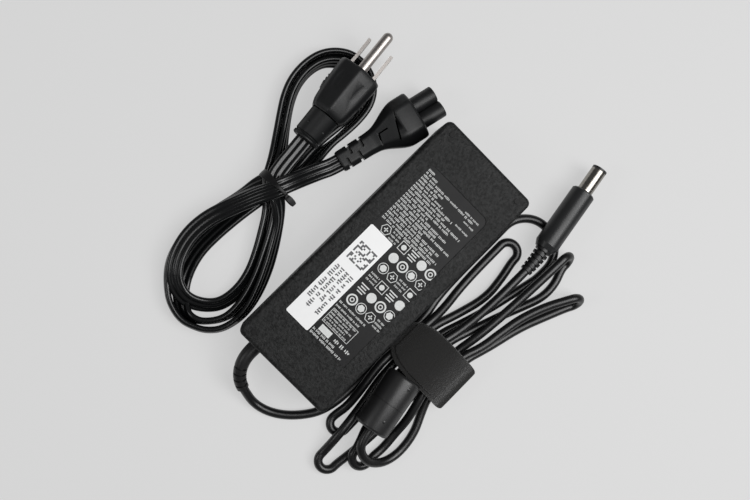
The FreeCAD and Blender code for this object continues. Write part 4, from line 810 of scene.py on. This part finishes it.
def block(long, wide, high, middle, turn=0.0, axis="Z", corner=0.0):
    """A block about its middle, turned about one axis, its upright edges rounded."""
    form = bmesh.new()
    bmesh.ops.create_cube(form, size=1, matrix=Matrix.Diagonal((long, wide, high, 1)))
    if corner:
        upright = [e for e in form.edges if abs(e.verts[0].co.z - e.verts[1].co.z) > high / 2]
        bmesh.ops.bevel(form, geom=upright, affect="EDGES", offset=corner, segments=5, profile=0.5, material=-1)
    place = Matrix.Translation(middle) @ Matrix.Rotation(math.radians(turn), 4, axis)
    bmesh.ops.transform(form, matrix=place, verts=form.verts)
    return form


moulding_paint = Paint("satin moulding", (0.007, 0.0074, 0.008), 0.44, Specular_IOR_Level=0.36)
moulding_grain = moulding_paint.noise(1200, 3)
moulding_paint.relief(moulding_grain, 0.00006, 0.6)
moulding_paint.show(Base_Color=moulding_paint.blend(moulding_paint.noise(90, 3), (0.005, 0.0054, 0.006),
                                                    (0.011, 0.0115, 0.012)),
                    Roughness=0.36 + moulding_paint.noise(110, 3) * 0.14)
conn_turn, conn_front, conn_wide, conn_high, nose_long = -12.5, 0.0418, 0.023, 0.017, 0.0118
flat_half, side_high, side_low, keel_half = 0.0068, 0.0042, 0.0035, 0.006
conn_half, conn_top = conn_wide / 2, conn_high / 2
conn_outline = [(flat_half, conn_top), (conn_half, side_high), (conn_half, -side_low), (keel_half, -conn_top),
                (-keel_half, -conn_top), (-conn_half, -side_low), (-conn_half, side_high), (-flat_half, conn_top)]
conn_stations = [(0, 0.39, 0.38), (0.0003, 0.42, 0.41), (0.0009, 0.44, 0.43), (0.0155, 0.46, 0.47)]
flare_start, flare_long = 0.0175, 0.0172
for k in range(11):
    grown = k / 10 * k / 10 * (3 - 2 * k / 10)
    conn_stations.append((flare_start + flare_long * k / 10, 0.475 + 0.525 * grown, 0.49 + 0.51 * grown))
conn_stations += [(conn_front - 0.0014, 1, 1), (conn_front - 0.0007, 0.988, 0.984),
                  (conn_front - 0.0002, 0.96, 0.945), (conn_front, 0.91, 0.88)]
connector = drawn(softened(conn_outline, 0.0015), conn_stations)
slots = []
slot_wide, slot_deep, slot_pitch, slot_start, neck_half = 0.0016, 0.0052, 0.0031, 0.0026, 0.0051
for k in range(4):
    side = -1 if k % 2 == 0 else 1
    slot_middle = (slot_start + slot_pitch * k + slot_wide / 2, side * (neck_half + 0.003 - slot_deep / 2 + 0.0002), 0)
    slots.append(cutting(block(slot_wide, slot_deep + 0.006, 0.016, slot_middle, corner=slot_wide * 0.48)))
across_groove = cutting(block(0.0007, 0.0138, 0.003, (0.0305, 0.0003, 0.0083), -16.6))
mark_long = cutting(block(0.0007, 0.0062, 0.004, (0.0211, -0.0014, 0.0061), -14))
mark_foot = cutting(block(0.0046, 0.0007, 0.002, (0.024, 0.0014, 0.006), -18, "Y"))
lobes = ((0.00385, 0.00175), (-0.00385, 0.00175), (0, -0.0034))
lobe_radius, hole_radius, hole_deep, lobe_round = 0.004, 0.0016, 0.009, 0.0005
noses = []
for y, z in lobes:
    lobe = lathed([(0, 0.00001)] + [(0, lobe_radius)] + quarter(nose_long - lobe_round + 0.001, lobe_radius
                  - lobe_round, lobe_round, 90, 3) + [(nose_long + 0.001, 0.00001)], 32)
    bmesh.ops.transform(lobe, matrix=Matrix.Translation((conn_front - 0.001, y, z)), verts=lobe.verts)
    noses.append(cutting(lobe, "UNION"))
web = cutting(block(nose_long + 0.0005, 0.0077, 0.0045, (conn_front + nose_long / 2 - 0.0005, 0, 0.0003)), "UNION")
holes = []
for y, z in lobes:
    hole = lathed([(0, 0.00001), (0, hole_radius), (hole_deep + 0.001, hole_radius), (hole_deep + 0.001, 0.00001)], 20)
    tip = conn_front + nose_long - hole_deep
    bmesh.ops.transform(hole, matrix=Matrix.Translation((tip, y, z)), verts=hole.verts)
    holes.append(cutting(hole))
connector = worked(connector, *slots, across_groove, mark_long, mark_foot, *noses, web, *holes)
add_shape(connector, block(0.0165, lead_wide, 0.003, (0.0085, 0, 0), corner=0.0012))
bmesh.ops.transform(connector, matrix=seat(lead_rear, conn_turn), verts=connector.verts)
piece("connector_moulding", connector, moulding_paint, "power_cord", "mains_moulding", "connector_body", sharp=28)


# Mains plug
# Ridged grip with bevelled shoulders and a shallow dished finger hold on each side of the ridge, ribbed
# flanks and a round collar for the lead. Two flat blades and a longer round earth pin, nickel-plated.
plug_front, plug_turn = (0.05375, 0.06935, 0.0167), 6.5
body_long, body_half, body_top, collar_long = 0.0255, 0.0105, 0.0115, 0.0137
grip_outline = [(0.0086, -body_top), (body_half, -0.0085), (body_half, 0.0046), (0.0088, 0.0079), (0, 0.0119),
                (-0.0088, 0.0079), (-body_half, 0.0046), (-body_half, -0.0085), (-0.0086, -body_top)]
grip = drawn(softened(grip_outline, 0.0013, 5),
             [(-body_long, 0.6, 0.62), (-body_long + 0.0004, 0.67, 0.7), (-body_long + 0.001, 0.74, 0.78),
              (-body_long + 0.002, 0.8, 0.845), (-body_long + 0.0034, 0.845, 0.885), (-body_long + 0.005, 0.87, 0.905),
              (-0.0135, 0.95, 0.965), (-0.005, 0.992, 0.995), (-0.0026, 1, 1), (-0.0014, 0.995, 0.995),
              (-0.0006, 0.98, 0.982), (-0.0001, 0.955, 0.962), (0, 0.93, 0.94)])
cuts, ribs = [], bmesh.new()
facet_tilt = math.degrees(math.atan2(0.0119 - 0.0079, 0.0088))
for side in (1, -1):
    dish = bmesh.new()
    bmesh.ops.create_uvsphere(dish, u_segments=40, v_segments=20, radius=1,
                              matrix=Matrix.Diagonal((0.0088, 0.0027, 0.0011, 1)))
    place = (Matrix.Translation((-0.0125, side * 0.0057, 0.0099))
             @ Matrix.Rotation(math.radians(-side * facet_tilt), 4, "X")
             @ Matrix.Rotation(math.radians(side * 3), 4, "Z"))
    bmesh.ops.transform(dish, matrix=place, verts=dish.verts)
    cuts.append(cutting(dish))
    for k in range(3):
        add_shape(ribs, block(0.0009, 0.0012, 0.0095, (-0.0145 + 0.0026 * k, side * 0.0099, -0.0018), 10 - 10 * k, "Y"))
grip = worked(grip, *cuts)
round_outline = [(math.cos(math.radians(a)), math.sin(math.radians(a))) for a in range(0, 360, 10)]
collar_half, droop, aside = 0.0067, -0.003, 0.0006
rear = -body_long - collar_long
collar = drawn(round_outline, [(rear, 0.0062, 0.006, aside, droop), (rear + 0.0004, collar_half, 0.0065, aside, droop),
                               (rear + 0.0016, collar_half, 0.0065, aside, droop),
                               (rear + 0.0018, 0.0063, 0.0061, aside, droop),
                               (rear + 0.0024, 0.0063, 0.0061, aside, droop * 0.96),
                               (rear + 0.0026, collar_half, 0.0065, aside, droop * 0.95),
                               (-body_long + 0.001, 0.0072, 0.0069, 0, 0)])
cuts = []
for along, across in ((-0.0322, 0.0042), (-0.0322, -0.0042)):
    dot = lathed([(0, 0.00001), (0, 0.0005), (0.004, 0.0005), (0.004, 0.00001)], 14)
    bmesh.ops.transform(dot, matrix=Matrix.Translation((along, across, 0.0025)) @ Matrix.Rotation(-math.pi / 2, 4, "Y"),
                        verts=dot.verts)
    cuts.append(cutting(dot))
add_shape(grip, worked(collar, *cuts))
add_shape(grip, ribs)
bmesh.ops.transform(grip, matrix=seat(plug_front, plug_turn), verts=grip.verts)
piece("mains_plug_moulding", grip, moulding_paint, "power_cord", "mains_moulding", "mains_plug_body", sharp=28)

for nickel, dark, light, node in (("blade nickel", (0.3, 0.28, 0.265), (0.4, 0.375, 0.36), "mains_plug_blades"),
                                  ("pin nickel", (0.36, 0.33, 0.31), (0.5, 0.47, 0.45), "mains_plug_ground_pin")):
    plate_of = Paint(nickel, dark, 0.38, Metallic=1)
    wear = plate_of.noise(300, 2)
    plate_of.show(Base_Color=plate_of.blend(wear, dark, light), Roughness=0.36 + wear * 0.08)
    plate_of.relief(wear, 0.00001, 0.2)
    finish_node(plate_of, node)


# Cord tie
# Thin black plastic tie round the waist of the lead, twisted so that it stands on edge over the flat top
# strand, with its wide head on the upper side and its round-ended tail lying at the lower side.
tie_middle, tie_thick = -0.009, 0.0009
tie_paint = Paint("tie plastic", (0.006, 0.006, 0.0065), 0.42, Specular_IOR_Level=0.3)
tie_paint.relief(tie_paint.noise(600, 2), 0.00005, 0.5)
tie_paint.show(Roughness=0.36 + tie_paint.noise(200, 2) * 0.14)
tie_path = [(0.0532, 0.0105, 0.0012), (0.0528, 0.015, 0.001), (0.0535, 0.0186, 0.0008), (0.0565, 0.0199, 0.0008),
            (0.0598, 0.0199, 0.001), (0.0622, 0.0178, 0.0016), (0.0654, 0.0161, 0.0021), (0.0682, 0.0134, 0.0021),
            (0.069, 0.008, 0.0018), (0.068, 0.0022, 0.0014), (0.062, 0.0006, 0.0013), (0.0555, 0.0006, 0.0013),
            (0.0528, 0.0022, 0.0013), (0.0526, 0.0062, 0.0013), (0.0528, 0.0096, 0.0014), (0.0514, 0.0098, 0.0016),
            (0.0492, 0.0086, 0.0016), (0.0478, 0.008, 0.0011)]
tie = piece("waist_tie", band(tie_path, tie_middle, 2), tie_paint, "power_cord", "tie_plastic", "cord_tie")
thicken(tie, tie_thick, 0.0002)


# Light and camera
# A plain pale table, a key lamp from the side of the round plug, a soft one overhead and a weak fill, and
# a camera that looks down from a little to the left of the adapter's middle.
bpy.ops.mesh.primitive_plane_add(size=80, location=(0, 0, -0.0002))
floor = bpy.context.object
floor.name = "table"
table_grey = (0.69, 0.69, 0.69)
floor_paint = Paint("pale table", table_grey, 0.95, Specular_IOR_Level=0)
seen = floor_paint.add("ShaderNodeLightPath", output="Is Camera Ray").math(
    "MAXIMUM", floor_paint.add("ShaderNodeLightPath", output="Is Glossy Ray")).math(
    "MAXIMUM", floor_paint.add("ShaderNodeLightPath", output="Is Transmission Ray"))
even = floor_paint.add("ShaderNodeEmission", {}, {"Color": table_grey, "Strength": 1.06})
lit_share = 0.3
mixed = floor_paint.add("ShaderNodeMixShader", {}, {0: seen * (1 - lit_share),
                                                    1: Level(floor_paint, floor_paint.tree.nodes["Principled BSDF"].outputs[0]),
                                                    2: even})
floor_paint.feed(floor_paint.tree.nodes["Material Output"].inputs["Surface"], mixed)
floor.data.materials.append(floor_paint.material)

world = bpy.data.worlds.new("room")
bpy.context.scene.world = world
world.use_nodes = True
world.node_tree.nodes["Background"].inputs["Color"].default_value = (*table_grey, 1)
world.node_tree.nodes["Background"].inputs["Strength"].default_value = 0.18


def lamp(name, place, aim, size, watts):
    data = bpy.data.lights.new(name, "AREA")
    data.shape = "RECTANGLE"
    data.size, data.size_y = size
    data.energy = watts
    item = bpy.data.objects.new(name, data)
    bpy.context.scene.collection.objects.link(item)
    item.location = place
    item.rotation_euler = (Vector(aim) - Vector(place)).to_track_quat("-Z", "Y").to_euler()


lamp("overhead", (0.18, -0.18, 0.72), (0.02, 0, 0), (0.5, 0.5), 3.6)
lamp("key", (0.26, -0.44, 0.6), (0, 0, 0), (0.34, 0.26), 1.6)
lamp("fill", (-0.5, 0.45, 0.6), (0, 0, 0), (0.3, 0.3), 0.9)

camera_data = bpy.data.cameras.new("camera")
camera = bpy.data.objects.new("camera", camera_data)
bpy.context.scene.collection.objects.link(camera)
camera_data.sensor_width = 36
camera_data.lens = 48
camera_data.clip_start = 0.01
right = (0.70509572, -0.70108524, 0.10639323)
up = (0.70422823, 0.70989189, 0.01077522)
back = (-0.08308203, 0.06732756, 0.99426575)
turn = Matrix((right, up, back)).transposed().to_4x4()
camera.matrix_world = Matrix.Translation((-0.03544, 0.03825, 0.46609)) @ turn
bpy.context.scene.camera = camera
bpy.context.scene.view_settings.view_transform = "Standard"
